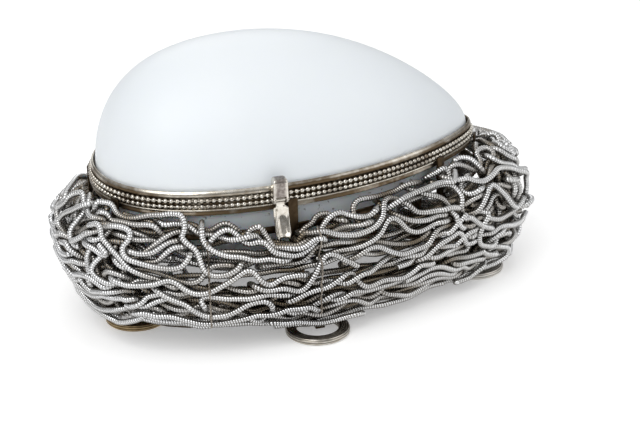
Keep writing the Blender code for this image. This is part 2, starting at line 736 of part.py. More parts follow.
def clearance(p, q, r, s, side):
    """Share along p-q of its point nearest to r-s, the way out there, and the distance along that way.

    Where the lines cross, the way out points to the side given, even from the wrong side of r-s.
    """
    u, v = closest_shares(p, q, r, s)
    between = (p + (q - p) * u[:, None]) - (r + (s - r) * v[:, None])
    distance = np.maximum(np.linalg.norm(between, axis=1), 1e-9)
    away = between / distance[:, None]
    square = np.cross(q - p, s - r)
    slant = np.linalg.norm(square, axis=1)
    crossing = slant > 0.25 * np.linalg.norm(q - p, axis=1) * np.linalg.norm(s - r, axis=1)
    crossing &= (np.minimum(u, v) > 0) & (np.maximum(u, v) < 1) & (distance < WIRE_DIAMETER)
    square *= np.where((square * side).sum(1) < 0, -1, 1)[:, None] / np.maximum(slant, 1e-12)[:, None]
    astray = crossing & (np.abs(side).sum(1) > 0) & ((away * side).sum(1) < 0.3)
    touching = crossing & (distance < 1e-5)
    away = np.where((astray | touching)[:, None], square, away)
    return u, away, (between * away).sum(1)


def near_pairs(start, end, other_start, other_end, reach):
    """Index pairs of lines that come within reach of each other."""
    middle, other_middle = (start + end) / 2, (other_start + other_end) / 2
    half = np.linalg.norm(end - start, axis=1) / 2
    other_half = np.linalg.norm(other_end - other_start, axis=1) / 2
    apart = np.linalg.norm(middle[:, None] - other_middle[None], axis=2)
    return np.nonzero(apart < half[:, None] + other_half[None] + reach)


def fixed_lines():
    """Lines that keep the wires clear of the mounts, hinge, clasp, straps and hoops.

    A row is a line's two ends, its radius, and the side of it that the wires belong on, or zeros.
    """
    lines = []

    def line(points, radius, sides=None, cyclic=False):
        points = np.asarray(points, float)
        sides = np.zeros_like(points) if sides is None else np.broadcast_to(sides, points.shape)
        ends = np.roll(points, -1, axis=0)
        stop = None if cyclic else -1
        radii = np.full((len(points), 1), radius)
        lines.append(np.hstack([points, ends, radii, sides])[:stop])

    half_rim = (RIM_OUT - FIT) / 2
    line(outline_ring(-half_rim, half_rim + FIT), half_rim, cyclic=True)
    hoop = outline_ring(MID_HOOP_LEVEL, RIM_OUT - MID_HOOP_THICKNESS / 2)
    beyond = outline_ring(MID_HOOP_LEVEL, RIM_OUT + MID_HOOP_THICKNESS)
    line(hoop, MID_HOOP_HEIGHT / 2, (beyond - hoop) / np.linalg.norm(beyond - hoop, axis=1)[:, None], True)
    line(base_hoop_line(), BASE_HOOP_DIAMETER / 2, (0, 0, 1), True)
    for turn in strap_turns():
        places, across = strap_places(turn)
        facing = np.cross(np.gradient(places, axis=0), across)
        facing /= np.linalg.norm(facing, axis=1)[:, None]
        facing *= np.sign((facing[0] * (places[0] * (1, 1, 0))).sum())
        for side in STRAP_LINES:
            line(places + across * side * STRAP_WIDTH, STRAP_THICKNESS / 2 + FIT / 2, facing)
    half = Vector((HINGE_WIDTH / 2 + HINGE_PIN_PROUD, 0, 0))
    for level in (0, KNUCKLE_DIAMETER / 2 - LEAF_REACH):
        middle = HINGE_AXIS + Vector((0, 0, level))
        line([middle - half, middle + half], KNUCKLE_DIAMETER / 2 + FIT)
    length = HASP_LENGTH + HASP_THICKNESS
    for degrees in range(0, 61, 12):
        angle = math.radians(degrees)
        tip = CLASP_AXIS + Vector((0, -math.sin(angle), -math.cos(angle))) * length
        for side in (-1, 0, 1):
            shift = Vector((side * (HASP_WIDTH / 2 - HASP_THICKNESS), 0, 0))
            line([CLASP_AXIS + shift, tip + shift], HASP_THICKNESS + FIT)
    return np.vstack(lines)


def strap_turns():
    """Turns of all straps round the outline, the one beside the clasp last."""
    turns = [math.radians(turn) for turn in STRAP_TURNS]
    return turns + [turn_at(CLASP_X + STRAP_BESIDE_CLASP, True)]


def bowl_push(points):
    """Moves that bring points to the wire's distance from the glass bowl, zero where they are clear."""
    x = (points[:, 0] - EGG_X) / HALF_LENGTH
    breadth = HALF_BREADTH * np.maximum(bulge(np.clip(x, -1, 1)), 0.1)
    depth = breadth * BOWL_DEPTH / HALF_WIDTH
    y, z = points[:, 1] / breadth, (points[:, 2] - SEAM) / depth
    steep = np.column_stack([x / HALF_LENGTH, y / breadth, z / depth])
    size = np.maximum(np.linalg.norm(steep, axis=1), 1e-9)
    distance = (x * x + y * y + z * z - 1) / (2 * size)
    need = WIRE_RADIUS + 4 * FIT - distance
    return np.where(need > 0, need, 0)[:, None] * steep / size[:, None]


def settle_wires():
    """Let the wires push each other apart until none touches another or anything fixed."""
    targets, closed = wire_targets()
    count, size = targets.shape[:2]
    points = targets.reshape(-1, 3).copy()
    goal = points.copy()
    index = np.arange(count * size)
    wire, place = index // size, index % size
    following = wire * size + (place + 1) % size
    real = closed[wire] | (place < size - 1)
    first = index[real]
    second = following[real]
    apart = WIRE_DIAMETER + WIRE_GAP
    obstacles = fixed_lines()
    fixed_start, fixed_end, fixed_radius, fixed_side = np.split(obstacles, (3, 6, 7), axis=1)
    inner = closed[wire] | ((place > 0) & (place < size - 1))
    previous = wire * size + (place - 1) % size
    nest_top = SEAM + NEST_TOP_END
    limit_high = np.array([NEST_HALF_LENGTH - WIRE_RADIUS, NEST_HALF_BREADTH - WIRE_RADIUS, nest_top])
    limit_low = np.array([-limit_high[0], -limit_high[1], WIRE_FLOOR])
    for step in range(RELAX_ROUNDS + SETTLE_ROUNDS):
        if step % PAIR_ROUNDS == 0:
            a, b = near_pairs(points[first], points[second], points[first], points[second], 3 * WIRE_DIAMETER)
            gap = np.abs(place[first[a]] - place[first[b]])
            same = (wire[first[a]] == wire[first[b]]) & ((gap < 2) | (gap == size - 1))
            keep = (a < b) & ~same
            a, b = a[keep], b[keep]
            c, d = near_pairs(points[first], points[second], fixed_start, fixed_end, 4 * WIRE_DIAMETER)
        moves = np.zeros_like(points)
        p, q, r, s = points[first[a]], points[second[a]], points[first[b]], points[second[b]]
        u, away, distance = clearance(p, q, r, s, np.zeros_like(p))
        v = closest_shares(p, q, r, s)[1]
        push = away * (np.maximum(apart - distance, 0) / 2)[:, None]
        for ends, share, sign in (((first[a], second[a]), u, 1), ((first[b], second[b]), v, -1)):
            scale = 1 / ((1 - share) ** 2 + share ** 2)
            np.add.at(moves, ends[0], sign * push * ((1 - share) * scale)[:, None])
            np.add.at(moves, ends[1], sign * push * (share * scale)[:, None])
        u, away, distance = clearance(points[first[c]], points[second[c]], fixed_start[d], fixed_end[d],
                                      fixed_side[d])
        short = np.maximum(WIRE_RADIUS + FIT + fixed_radius[d, 0] - distance, 0)
        push = away * short[:, None]
        scale = 1 / ((1 - u) ** 2 + u ** 2)
        np.add.at(moves, first[c], push * ((1 - u) * scale)[:, None])
        np.add.at(moves, second[c], push * (u * scale)[:, None])
        for share in (0, 0.5):
            lift = bowl_push(points[first] * (1 - share) + points[second] * share)
            np.add.at(moves, first, lift)
            np.add.at(moves, second, lift * share * 2)
        biggest = np.linalg.norm(moves, axis=1)
        moves *= np.minimum(1, WIRE_RADIUS / np.maximum(biggest, 1e-9))[:, None]
        points += PUSH_SHARE * moves
        if step < RELAX_ROUNDS:
            easing = 1 - step / RELAX_ROUNDS
            even = (points[previous] + points[following]) / 2
            points += HOMING * easing * (goal - points)
            points += np.where(inner, SMOOTHING * easing, 0)[:, None] * (even - points)
        points = np.round(np.clip(points, limit_low, limit_high), POINT_DECIMALS)
    p, q, r, s = points[first[a]], points[second[a]], points[first[b]], points[second[b]]
    least = clearance(p, q, r, s, np.zeros_like(p))[2] - WIRE_DIAMETER
    cage = clearance(points[first[c]], points[second[c]], fixed_start[d], fixed_end[d], fixed_side[d])[2]
    cage_gap = (cage - fixed_radius[d, 0]).min() - WIRE_RADIUS
    print(f"least gap of a wire to the cage {cage_gap / MM:.3f} mm")
    own = wire[first[a]] == wire[first[b]]
    print(f"least gap between two wires {least[~own].min() / MM:.3f} mm")
    if own.any():
        print(f"least gap of a wire to itself {least[own].min() / MM:.3f} mm")
    print("nest reaches", (points.min(0) - WIRE_RADIUS) / MM, (points.max(0) + WIRE_RADIUS) / MM)
    return points.reshape(count, size, 3), closed


def tie_line(turn, paths, closed):
    """Line that hugs the outside of the settled wires, in the upright plane through a turn."""
    origin = np.array(outline(turn))
    outwards = np.array(outline(turn, 1)) - origin
    along = np.array((-outwards[1], outwards[0]))
    crossings = []
    for path, cyclic in zip(paths, closed):
        flat = path[:, :2] - origin
        side = flat @ along
        rows = np.column_stack([flat @ outwards, path[:, 2] - SEAM])
        ends, end_side = np.roll(rows, -1, axis=0), np.roll(side, -1)
        met = (side * end_side < 0) & (rows[:, 0] > -HALF_BREADTH)
        if not cyclic:
            met[-1] = False
        share = (side[met] / (side[met] - end_side[met]))[:, None]
        crossings.append(rows[met] + share * (ends[met] - rows[met]))
    crossings = np.vstack(crossings)
    places = []
    for angle in np.linspace(TIE_TOP, TIE_END, TIE_POINTS):
        way = np.array((math.cos(angle), math.sin(angle)))
        furthest = crossings[np.argmax(crossings @ way)]
        out, level = furthest + way * (WIRE_RADIUS + TIE_DIAMETER / 2 + 2 * FIT)
        places.append((*(origin + outwards * out), SEAM + level))
    return places


def main():
    """Build every piece."""
    glass_half("lid_glass", DOME_HEIGHT, True, LID_TURN)
    glass_half("base_glass", BOWL_DEPTH, False)
    paint(section_ring("lid_bezel", lid_section(), LID_TURN), OLD_SILVER, 0.9, 0.3)
    paint(section_ring("base_bezel", base_section()), OLD_SILVER, 0.9, 0.35)
    beading("lid_beading", 1, LID_TURN)
    beading("base_beading", -1)
    hinge_leaf("hinge_leaf_lid", 1, LID_TURN)
    hinge_leaf("hinge_leaf_base", -1)
    hinge_pin()
    clasp_lug()
    clasp_pin()
    hasp()
    catch()
    for name, place in FOOT_PLACES.items():
        foot("foot_" + name, place)
        foot_arm("foot_arm_" + name, place)
    for number, turn in enumerate(strap_turns(), 1):
        strap(f"strap_{number}", turn)
    mid_hoop()
    paint(tube("base_hoop", base_hoop_line(), BASE_HOOP_DIAMETER, 1, True), BRONZE, 0.8, 0.5)
    paths, closed = settle_wires()
    for number, (path, cyclic) in enumerate(zip(paths, closed), 1):
        wire = tube(f"nest_wire_{number:02d}", path, WIRE_DIAMETER, 1, bool(cyclic))
        paint(wire, WIRE_SILVER, 0.9, 0.3)
    for number, degrees in enumerate(TIE_TURNS, 1):
        line = tie_line(math.radians(degrees), paths, closed)
        paint(tube(f"tie_{number}", line, TIE_DIAMETER, 0, False), BRONZE, 0.8, 0.5)


main()
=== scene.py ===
# %% [markdown]
# # Opaline egg trinket box in a nest of wound wire
#
# A satin opal glass egg lies on its side. It opens along its middle, where two silver-plated mounts meet
# between two rows of beads, with a hinge behind and a hasp in front. The egg sits in a bird's nest that was
# twisted from gimp, which is a fine wire wound tightly round a core, and the nest stands on four ring feet.
#
# The CAD model gives every piece its place. This lesson dresses it, piece by piece, in the same metres.

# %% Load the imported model
import math

import bmesh
import bpy
import numpy as np
from mathutils import Matrix, Vector, kdtree


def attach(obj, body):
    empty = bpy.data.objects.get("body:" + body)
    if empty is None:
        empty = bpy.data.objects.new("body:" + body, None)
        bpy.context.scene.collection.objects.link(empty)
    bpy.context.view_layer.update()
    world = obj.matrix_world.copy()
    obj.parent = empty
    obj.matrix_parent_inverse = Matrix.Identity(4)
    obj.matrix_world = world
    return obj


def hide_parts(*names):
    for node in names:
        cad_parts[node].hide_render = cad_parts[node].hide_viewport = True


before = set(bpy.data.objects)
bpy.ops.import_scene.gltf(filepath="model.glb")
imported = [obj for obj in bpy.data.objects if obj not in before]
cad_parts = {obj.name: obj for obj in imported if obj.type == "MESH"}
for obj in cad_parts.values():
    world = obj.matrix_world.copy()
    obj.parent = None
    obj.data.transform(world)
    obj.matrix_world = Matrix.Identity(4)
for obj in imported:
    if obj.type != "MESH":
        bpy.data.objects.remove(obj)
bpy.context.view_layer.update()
MM = 0.001
HAIR = 0.001 * MM
TINY = 1e-9


def add_object(name, data):
    """Object that shows some data in the scene."""
    made = bpy.data.objects.new(name, data)
    bpy.context.scene.collection.objects.link(made)
    return made


# %% [markdown]
# ## The egg's outline
#
# Seen from above, the mounts, the beads and the hoops all follow the egg's outline at a constant distance.
# One formula gives it, so every ring here is a call to `outline` with a distance outwards and a level over
# the seam. It is the same formula and the same sizes as in the CAD source.

# %% The egg's outline
EGG_HALF_LENGTH = 80 * MM
EGG_HALF_BREADTH = 43 * MM
EGG_X = -3 * MM
SEAM = 61.5 * MM
EGG_POINT, EGG_TAPER = 0.22, 0.18
DOME_HEIGHT, BOWL_DEPTH = 53 * MM, 45 * MM
FULL_TURN = 2 * math.pi
CROWD = 0.33


def bulge(u):
    """Share of the breadth that the egg keeps at u, from -1 at the blunt end to 1 at the point."""
    return 1 - EGG_POINT * u - EGG_TAPER * u ** 3


def outline(turn, out=0.0):
    """Plan position on the egg's outline, moved outwards by out."""
    c, s = np.cos(turn), np.sin(turn)
    along_x = -EGG_HALF_LENGTH * s
    along_y = EGG_HALF_BREADTH * (c * bulge(c) + s * (EGG_POINT * s + 3 * EGG_TAPER * c ** 2 * s))
    size = np.hypot(along_x, along_y)
    x = EGG_X + EGG_HALF_LENGTH * c + out * along_y / size
    y = EGG_HALF_BREADTH * s * bulge(c) - out * along_x / size
    return x, y


def turns_round(count):
    """Turns round the egg, closer together at its two ends."""
    turns = np.arange(count) * FULL_TURN / count
    return turns - CROWD * np.sin(2 * turns)


def outline_ring(level, out, count=360):
    """Closed line round the egg."""
    x, y = outline(turns_round(count), out)
    return np.column_stack([x, y, np.full(count, SEAM + level)])


HALF_WIDTH = float(outline(np.linspace(0, FULL_TURN, 3601))[1].max())
print("half width of the egg in mm", round(HALF_WIDTH / MM, 2))

# %% [markdown]
# ## Camera
#
# The photograph was taken a little from above and from the left, with a long lens. The angles and the
# distance were worked out from where the mounts, the feet and the outline of the dome fall in it. The small
# roll stands for the tilt of the piece, which doesn't stand level in the photograph.

# %% Camera
CAMERA_YAW = math.radians(16.8)
CAMERA_RISE = math.radians(21.0)
CAMERA_ROLL = math.radians(1.69)
CAMERA_DISTANCE = 710.2 * MM
FOCAL_PIXELS = 1700
FRAME_WIDTH = 640
AIM_PIXELS = (-31.14, 63.39)
SENSOR_WIDTH = 36

pan = math.atan2(AIM_PIXELS[0], FOCAL_PIXELS)
tilt = math.atan2(AIM_PIXELS[1], FOCAL_PIXELS)
right = Vector((1, 0, 0))
up = Vector((0, math.sin(CAMERA_RISE), math.cos(CAMERA_RISE)))
ahead = Vector((0, math.cos(CAMERA_RISE), -math.sin(CAMERA_RISE)))
spot = -ahead * CAMERA_DISTANCE


def turn_pair(first, second, angle):
    """Two square directions, turned in their own plane from the first towards the second."""
    c, s = math.cos(angle), math.sin(angle)
    return first * c + second * s, second * c - first * s


right, ahead = turn_pair(right, ahead, pan)
up, ahead = turn_pair(up, ahead, tilt)
up, right = turn_pair(up, right, CAMERA_ROLL)
yaw = Matrix.Rotation(-CAMERA_YAW, 3, "Z")
lens = bpy.data.cameras.new("camera")
lens.sensor_width = SENSOR_WIDTH
lens.lens = FOCAL_PIXELS / FRAME_WIDTH * SENSOR_WIDTH
lens.clip_start = 10 * MM
camera = add_object("camera", lens)
camera.matrix_world = Matrix.Translation(yaw @ spot + Vector((EGG_X, 0, SEAM))) @ (
    yaw @ Matrix((right, up, -ahead)).transposed()).to_4x4()
bpy.context.scene.camera = camera
print("camera at", [round(v, 3) for v in camera.matrix_world.translation])

# %% [markdown]
# ## Helpers for materials
#
# Every finish below is a small node tree. These helpers only save typing: one makes a node with its values,
# one joins sockets, and one makes noise that is fixed to the object, so nothing slides when a part turns.

# %% Helpers for materials


class Finish:
    """A material being built: a Principled shader and the nodes that feed it."""

    def __init__(self, name):
        self.material = bpy.data.materials.new(name)
        self.material.use_nodes = True
        self.tree = self.material.node_tree
        self.shader = self.tree.nodes["Principled BSDF"]
        self.place = self.node("ShaderNodeTexCoord").outputs["Object"]

    def node(self, kind, **values):
        made = self.tree.nodes.new(kind)
        for name, value in values.items():
            setattr(made, name, value)
        return made

    def join(self, source, target):
        self.tree.links.new(source, target)

    def put(self, socket, value):
        """Link a socket to another, or set it to a value."""
        if isinstance(value, bpy.types.NodeSocket):
            self.join(value, socket)
        else:
            socket.default_value = value

    def noise(self, scale, detail=3.0, distortion=0.0):
        made = self.node("ShaderNodeTexNoise")
        for name, number in (("Scale", scale), ("Detail", detail), ("Distortion", distortion)):
            made.inputs[name].default_value = number
        self.join(self.place, made.inputs["Vector"])
        return made.outputs["Fac"]

    def axis(self, letter, vector=None):
        """X, Y or Z of a vector, which is the place on the piece unless another is given."""
        made = self.node("ShaderNodeSeparateXYZ")
        self.join(self.place if vector is None else vector, made.inputs["Vector"])
        return made.outputs[letter]

    def facing(self):
        """Direction in which the surface faces, fixed to the piece."""
        return self.node("ShaderNodeTexCoord").outputs["Normal"]

    def attribute(self, name):
        return self.node("ShaderNodeAttribute", attribute_name=name).outputs["Fac"]

    def spread(self, value, low, high, to_low=0.0, to_high=1.0):
        """Value taken from one span to another, and kept inside it."""
        made = self.node("ShaderNodeMapRange")
        for name, number in (("From Min", low), ("From Max", high), ("To Min", to_low), ("To Max", to_high)):
            made.inputs[name].default_value = number
        self.join(value, made.inputs["Value"])
        return made.outputs["Result"]

    def math(self, operation, first, second=0.0):
        made = self.node("ShaderNodeMath", operation=operation, use_clamp=operation == "ADD")
        self.put(made.inputs[0], first)
        self.put(made.inputs[1], second)
        return made.outputs["Value"]

    def mix(self, share, first, second):
        """Blend of two colours."""
        made = self.node("ShaderNodeMix", data_type="RGBA")
        self.put(made.inputs["Factor"], share)
        for socket, colour in ((made.inputs[6], first), (made.inputs[7], second)):
            self.put(socket, colour if isinstance(colour, bpy.types.NodeSocket) else (*colour, 1))
        return made.outputs[2]

    def colour(self, socket):
        self.join(socket, self.shader.inputs["Base Color"])

    def bump(self, height, distance, strength):
        made = self.node("ShaderNodeBump")
        made.inputs["Distance"].default_value = distance
        made.inputs["Strength"].default_value = strength
        self.join(height, made.inputs["Height"])
        self.join(made.outputs["Normal"], self.shader.inputs["Normal"])

    def set(self, **values):
        for name, value in values.items():
            self.put(self.shader.inputs[name.replace("_", " ")], value)


print("helpers for materials ready")

# %% [markdown]
# ## Finishes
#
# - The glass is opal: milky all through, with a satin surface, so light enters and spreads before it leaves.
# - The mounts were silvered brass. The silver is bright where it is rubbed and has gone brown in the hollows.
# - The nest's wire is tinned and bright on the crown of each turn; painted shade darkens it between the turns
#   and underneath.
# - The straps and hoops of the cage inside are bronze, brown all over.

# %% Opal glass
MILK_DEPTH = 4 * MM
SATIN_GRAIN, SATIN_DEPTH = 2500, 0.01 * MM
glass = Finish("satin_opaline")
cloud = glass.spread(glass.noise(18, 2), 0.3, 0.7)
glass.colour(glass.mix(cloud, (0.80, 0.845, 0.885), (0.835, 0.875, 0.91)))
glass.set(Roughness=glass.spread(glass.noise(900, 2), 0.3, 0.7, 0.4, 0.5), Subsurface_Weight=0.35,
          Subsurface_Radius=(1.0, 1.0, 1.1), IOR=1.5)

# The bowl stands in the nest's shade, so its glass is painted a little greyer than the lid's, as painted
# shade.
# Dirt has gathered on its outside, most of it below the mount.
SPECK_TOP = SEAM - 5 * MM
SPECK_FADE = 26 * MM
bowl_glass = Finish("satin_opaline_bowl")
dirt = bowl_glass.spread(bowl_glass.noise(420, 4, 0.6), 0.62, 0.72)
near_rim = bowl_glass.spread(bowl_glass.axis("Z"), SPECK_TOP - SPECK_FADE, SPECK_TOP, 0.1, 1)
from_middle = bowl_glass.node("ShaderNodeVectorMath", operation="SUBTRACT")
from_middle.inputs[1].default_value = (EGG_X, 0, SEAM)
bowl_glass.join(bowl_glass.place, from_middle.inputs[0])
outwardness = bowl_glass.node("ShaderNodeVectorMath", operation="DOT_PRODUCT")
bowl_glass.join(from_middle.outputs["Vector"], outwardness.inputs[0])
bowl_glass.join(bowl_glass.facing(), outwardness.inputs[1])
outside = bowl_glass.spread(outwardness.outputs["Value"], -1 * MM, 1 * MM)
specks = bowl_glass.math("MULTIPLY", bowl_glass.math("MULTIPLY", dirt, near_rim), outside)
# Painted shade: the clean glass of the bowl is a little greyer than the lid's.
clean = bowl_glass.mix(bowl_glass.spread(bowl_glass.noise(30, 3), 0.3, 0.7),
                       (0.72, 0.76, 0.79), (0.82, 0.86, 0.89))
bowl_glass.colour(bowl_glass.mix(specks, clean, (0.09, 0.075, 0.05)))
bowl_glass.set(Roughness=0.42, Subsurface_Weight=0.25)
for made in (glass, bowl_glass):
    made.set(Subsurface_Scale=MILK_DEPTH)
    made.bump(made.noise(SATIN_GRAIN, 2), SATIN_DEPTH, 0.4)
print("finishes:", glass.material.name, bowl_glass.material.name)

# %% Old silver, clasp silver and bronze
CLASP_X = -21.4 * MM
STRIP_NEAR, STRIP_FAR = 1.3 * MM, 2.6 * MM


def tarnished(name, bright, warm, dark, amount, roughness, patch_scale=60, groove=False, bands=(), strip=0):
    """Metal whose plating has gone brown in patches and in its hollows.

    bands are browner levels over the seam, each with its half height and its share. strip is how brown the
    metal is down the middle of the clasp, where fingers don't polish it.
    """
    made = Finish(name)
    patches = made.spread(made.noise(patch_scale, 3, 0.3), 0.55 - amount, 0.86 - amount)
    fine = made.spread(made.noise(patch_scale * 9, 4), 0.35, 0.75)
    brown = made.math("MULTIPLY", patches, made.spread(fine, 0, 1, 0.65, 1))
    if groove:
        brown = made.math("ADD", brown, made.attribute("groove"))
    zones = [("Z", SEAM + level, 0.6 * half, 1.2 * half, share, patches, 0.6) for level, half, share in bands]
    if strip:
        zones.append(("X", CLASP_X, STRIP_NEAR, STRIP_FAR, strip, fine, 0.7))
    for letter, middle, near, far, share, mottle, least in zones:
        off = made.math("ABSOLUTE", made.math("SUBTRACT", made.axis(letter), middle))
        zone, mottled = made.spread(off, near, far, share, 0), made.spread(mottle, 0, 1, least, 1)
        brown = made.math("ADD", brown, made.math("MULTIPLY", zone, mottled))
    made.colour(made.mix(brown, made.mix(fine, bright, warm), dark))
    made.set(Metallic=1.0, Roughness=made.spread(brown, 0, 1, roughness, roughness + 0.22))
    made.bump(made.noise(patch_scale * 14, 3), 0.02 * MM, 0.5)
    return made.material


old_silver = tarnished(
    "old_silver", (0.80, 0.77, 0.70), (0.60, 0.54, 0.44), (0.12, 0.085, 0.05), 0.18, 0.18,
    bands=((0, 1.9 * MM, 1.0), (2.9 * MM, 1.0 * MM, 0.7), (-4.3 * MM, 1.1 * MM, 0.8)))
bead_silver = tarnished(
    "bead_silver", (0.74, 0.72, 0.67), (0.48, 0.43, 0.35), (0.14, 0.10, 0.065), 0.14, 0.16, 90)
lug_silver = tarnished(
    "lug_silver", (0.78, 0.75, 0.69), (0.60, 0.55, 0.48), (0.11, 0.085, 0.08), 0.1, 0.16, 120, strip=0.9)
clasp_silver = tarnished(
    "clasp_silver", (0.76, 0.73, 0.67), (0.60, 0.55, 0.47), (0.10, 0.07, 0.045), 0.1, 0.13, 90,
    bands=((1.0 * MM, 2.4 * MM, 0.5), (-15 * MM, 5 * MM, 0.15)))
bronze = tarnished(
    "brown_bronze", (0.085, 0.058, 0.034), (0.055, 0.037, 0.02), (0.02, 0.014, 0.009), 0.12, 0.32)
foot_dark = tarnished(
    "foot_dark_silver", (0.66, 0.63, 0.58), (0.46, 0.41, 0.33), (0.05, 0.04, 0.03), 0.06, 0.2, 45, True)
foot_gold = tarnished(
    "foot_gilt", (0.62, 0.47, 0.26), (0.44, 0.31, 0.15), (0.07, 0.045, 0.025), 0.12, 0.22, 45, True)
foot_pale = tarnished(
    "foot_pale_silver", (0.74, 0.72, 0.68), (0.60, 0.57, 0.52), (0.12, 0.10, 0.08), 0.05, 0.24, 45, True)
tie_metal = tarnished(
    "tie_wire", (0.38, 0.35, 0.31), (0.22, 0.18, 0.14), (0.07, 0.05, 0.035), 0.14, 0.28, 120)
print("finishes:", old_silver.name, clasp_silver.name, bronze.name, foot_dark.name)

# %% Wound wire
END_NEAR, END_FAR = 42 * MM, 85 * MM
wire = Finish("wound_wire")
groove = wire.spread(wire.attribute("groove"), 0.35, 0.9)
# Wires that other wires cover are painted brown: partly patina, partly painted shade.
deep = wire.spread(wire.attribute("deep"), 0.2, 0.85)
age = wire.spread(wire.noise(40, 3), 0.35, 0.7)
shaded = wire.mix(deep, wire.mix(age, (0.92, 0.93, 0.95), (0.76, 0.76, 0.75)), (0.20, 0.16, 0.11))
# Painted shade: the surfaces of the wire that face downwards are painted darker.
underside_shade = wire.spread(wire.axis("Z", wire.facing()), 0.3, -0.7, 0, 0.8)
crown = wire.mix(underside_shade, shaded, (0.085, 0.075, 0.06))
# Painted shade: the grooves between the turns are painted nearly black, with a little random tone, and this
# painted shade fades to grey towards the nest's two ends.
groove_shade_tone = wire.mix(wire.spread(wire.noise(28, 2), 0.4, 0.65), (0.06, 0.052, 0.042), (0.24, 0.22, 0.19))
groove_shade_fade = wire.spread(wire.math("ABSOLUTE", wire.axis("X")), END_NEAR, END_FAR, 0, 0.85)
valley = wire.mix(groove_shade_fade, groove_shade_tone, (0.44, 0.44, 0.43))
wire.colour(wire.mix(groove, crown, valley))
wire.set(Metallic=1.0, Roughness=wire.spread(groove, 0, 1, 0.17, 0.6))
wound_wire = wire.material
print("finish:", wound_wire.name)

# %% [markdown]
# ## Floor and light
#
# The photograph is a plain studio one: white all round, with soft light from the upper left and a weaker one
# from the right. The floor is white, and its material adds a little light of its own for the camera and for
# reflections, so the background stays white while the object keeps its shadow.

# %% Floor
FLOOR_HALF = 4.0
FLOOR_GLOW = 0.32
ground = bpy.data.meshes.new("floor")
ground.from_pydata([(x * FLOOR_HALF, y * FLOOR_HALF, 0) for x, y in ((-1, -1), (1, -1), (1, 1), (-1, 1))], [],
                   [(0, 1, 2, 3)])
floor = add_object("floor", ground)
paper = Finish("white_paper")
paper.set(Base_Color=(0.9, 0.9, 0.9, 1), Roughness=0.9, Specular_IOR_Level=0.0)
rays = paper.node("ShaderNodeLightPath")
seen = paper.math("MAXIMUM", rays.outputs["Is Camera Ray"],
                  paper.math("MAXIMUM", rays.outputs["Is Glossy Ray"], rays.outputs["Is Transmission Ray"]))
paper.set(Emission_Color=(1, 1, 1, 1), Emission_Strength=paper.math("MULTIPLY", seen, FLOOR_GLOW))
ground.materials.append(paper.material)
print("floor of", 2 * FLOOR_HALF, "m")

# %% Light
world = bpy.data.worlds.new("studio")
bpy.context.scene.world = world
world.use_nodes = True
sky = world.node_tree
backdrop = sky.nodes["Background"]
direction, upness, shade, world_rays, choice = (sky.nodes.new("ShaderNode" + kind) for kind in (
    "TexCoord", "SeparateXYZ", "MapRange", "LightPath", "Mix"))
for name, number in (("From Min", 0.02), ("From Max", 0.75), ("To Min", 0.14), ("To Max", 0.70)):
    shade.inputs[name].default_value = number
for source, target in (
    (direction.outputs["Generated"], upness.inputs["Vector"]),
    (upness.outputs["Z"], shade.inputs["Value"]),
    (world_rays.outputs["Is Camera Ray"], choice.inputs["Factor"]),
    (shade.outputs["Result"], choice.inputs["A"]),
    (choice.outputs["Result"], backdrop.inputs["Strength"]),
):
    sky.links.new(source, target)
choice.inputs["B"].default_value = 1.0
backdrop.inputs["Color"].default_value = (1, 1, 1, 1)


def soft_box(name, place, size, power):
    """Square lamp that faces the egg."""
    data = bpy.data.lights.new(name, "AREA")
    data.shape = "SQUARE"
    data.size = size
    data.energy = power
    lamp = add_object(name, data)
    lamp.location = place
    lamp.rotation_euler = (Vector((0, 0, SEAM)) - Vector(place)).to_track_quat("-Z", "Y").to_euler()


for name, place, size, power in (
    ("key_light", (-0.55, -0.5, 0.75), 0.8, 5.3),
    ("fill_light", (0.8, -0.55, 0.45), 0.8, 2.1),
    ("back_light", (0.1, 0.8, 0.6), 0.7, 1.3),
):
    soft_box(name, place, size, power)
bpy.context.scene.view_settings.view_transform = "Standard"

# %% [markdown]
# ## Helpers for meshes
#
# A sweep joins rows of points into a closed tube or shell. It serves for the glass, the mouldings and the
# feet alike. Geometry Nodes do the repeating work further down, and `settle` turns their result into a
# plain mesh.

# %% Helpers for meshes


def soften(mesh, degrees):
    """Smooth shading that stops at edges sharper than an angle."""
    mesh.shade_smooth()
    mesh.set_sharp_from_angle(angle=math.radians(degrees))


def new_mesh_object(name, points, faces, edges=(), degrees=None):
    """Smooth object made of points and faces, or only of edges. Edges past a given angle are sharp."""
    mesh = bpy.data.meshes.new(name)
    mesh.from_pydata([tuple(p) for p in points], edges, [tuple(f) for f in faces])
    mesh.shade_smooth()
    if degrees:
        soften(mesh, degrees)
    return add_object(name, mesh)


def take_place(obj, body, node=None, finish=None):
    """Say what a finished piece rides on and which CAD node it stands for."""
    if finish:
        obj.data.materials.clear()
        obj.data.materials.append(finish)
    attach(obj, body)
    if node:
        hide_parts(node)


def sweep(rows, joined=False):
    """Points and faces between closed rings of points. Where joined, the last ring meets the first."""
    rows = np.asarray(rows)
    count, size = rows.shape[:2]
    faces = []
    for i in range(count if joined else count - 1):
        for j in range(size):
            a, b = i * size + j, i * size + (j + 1) % size
            c, d = ((i + 1) % count) * size + (j + 1) % size, ((i + 1) % count) * size + j
            faces.append((a, b, c, d))
    return rows.reshape(-1, 3), faces


def loft(rows):
    """Sweep whose first and last rings are closed by a face each."""
    points, faces = sweep(rows)
    size = len(rows[0])
    start = len(points) - size
    return points, faces + [tuple(range(size))[::-1], tuple(range(start, start + size))]


def together(shapes):
    """Points and faces of several shapes as one."""
    points, faces = [], []
    for more, around in shapes:
        faces += [tuple(k + len(points) for k in face) for face in around]
        points += list(more)
    return points, faces


def outwards(obj):
    """Turn every face outwards."""
    bm = bmesh.new()
    bm.from_mesh(obj.data)
    bmesh.ops.remove_doubles(bm, verts=bm.verts, dist=HAIR)
    bmesh.ops.recalc_face_normals(bm, faces=bm.faces)
    bm.to_mesh(obj.data)
    bm.free()
    return obj


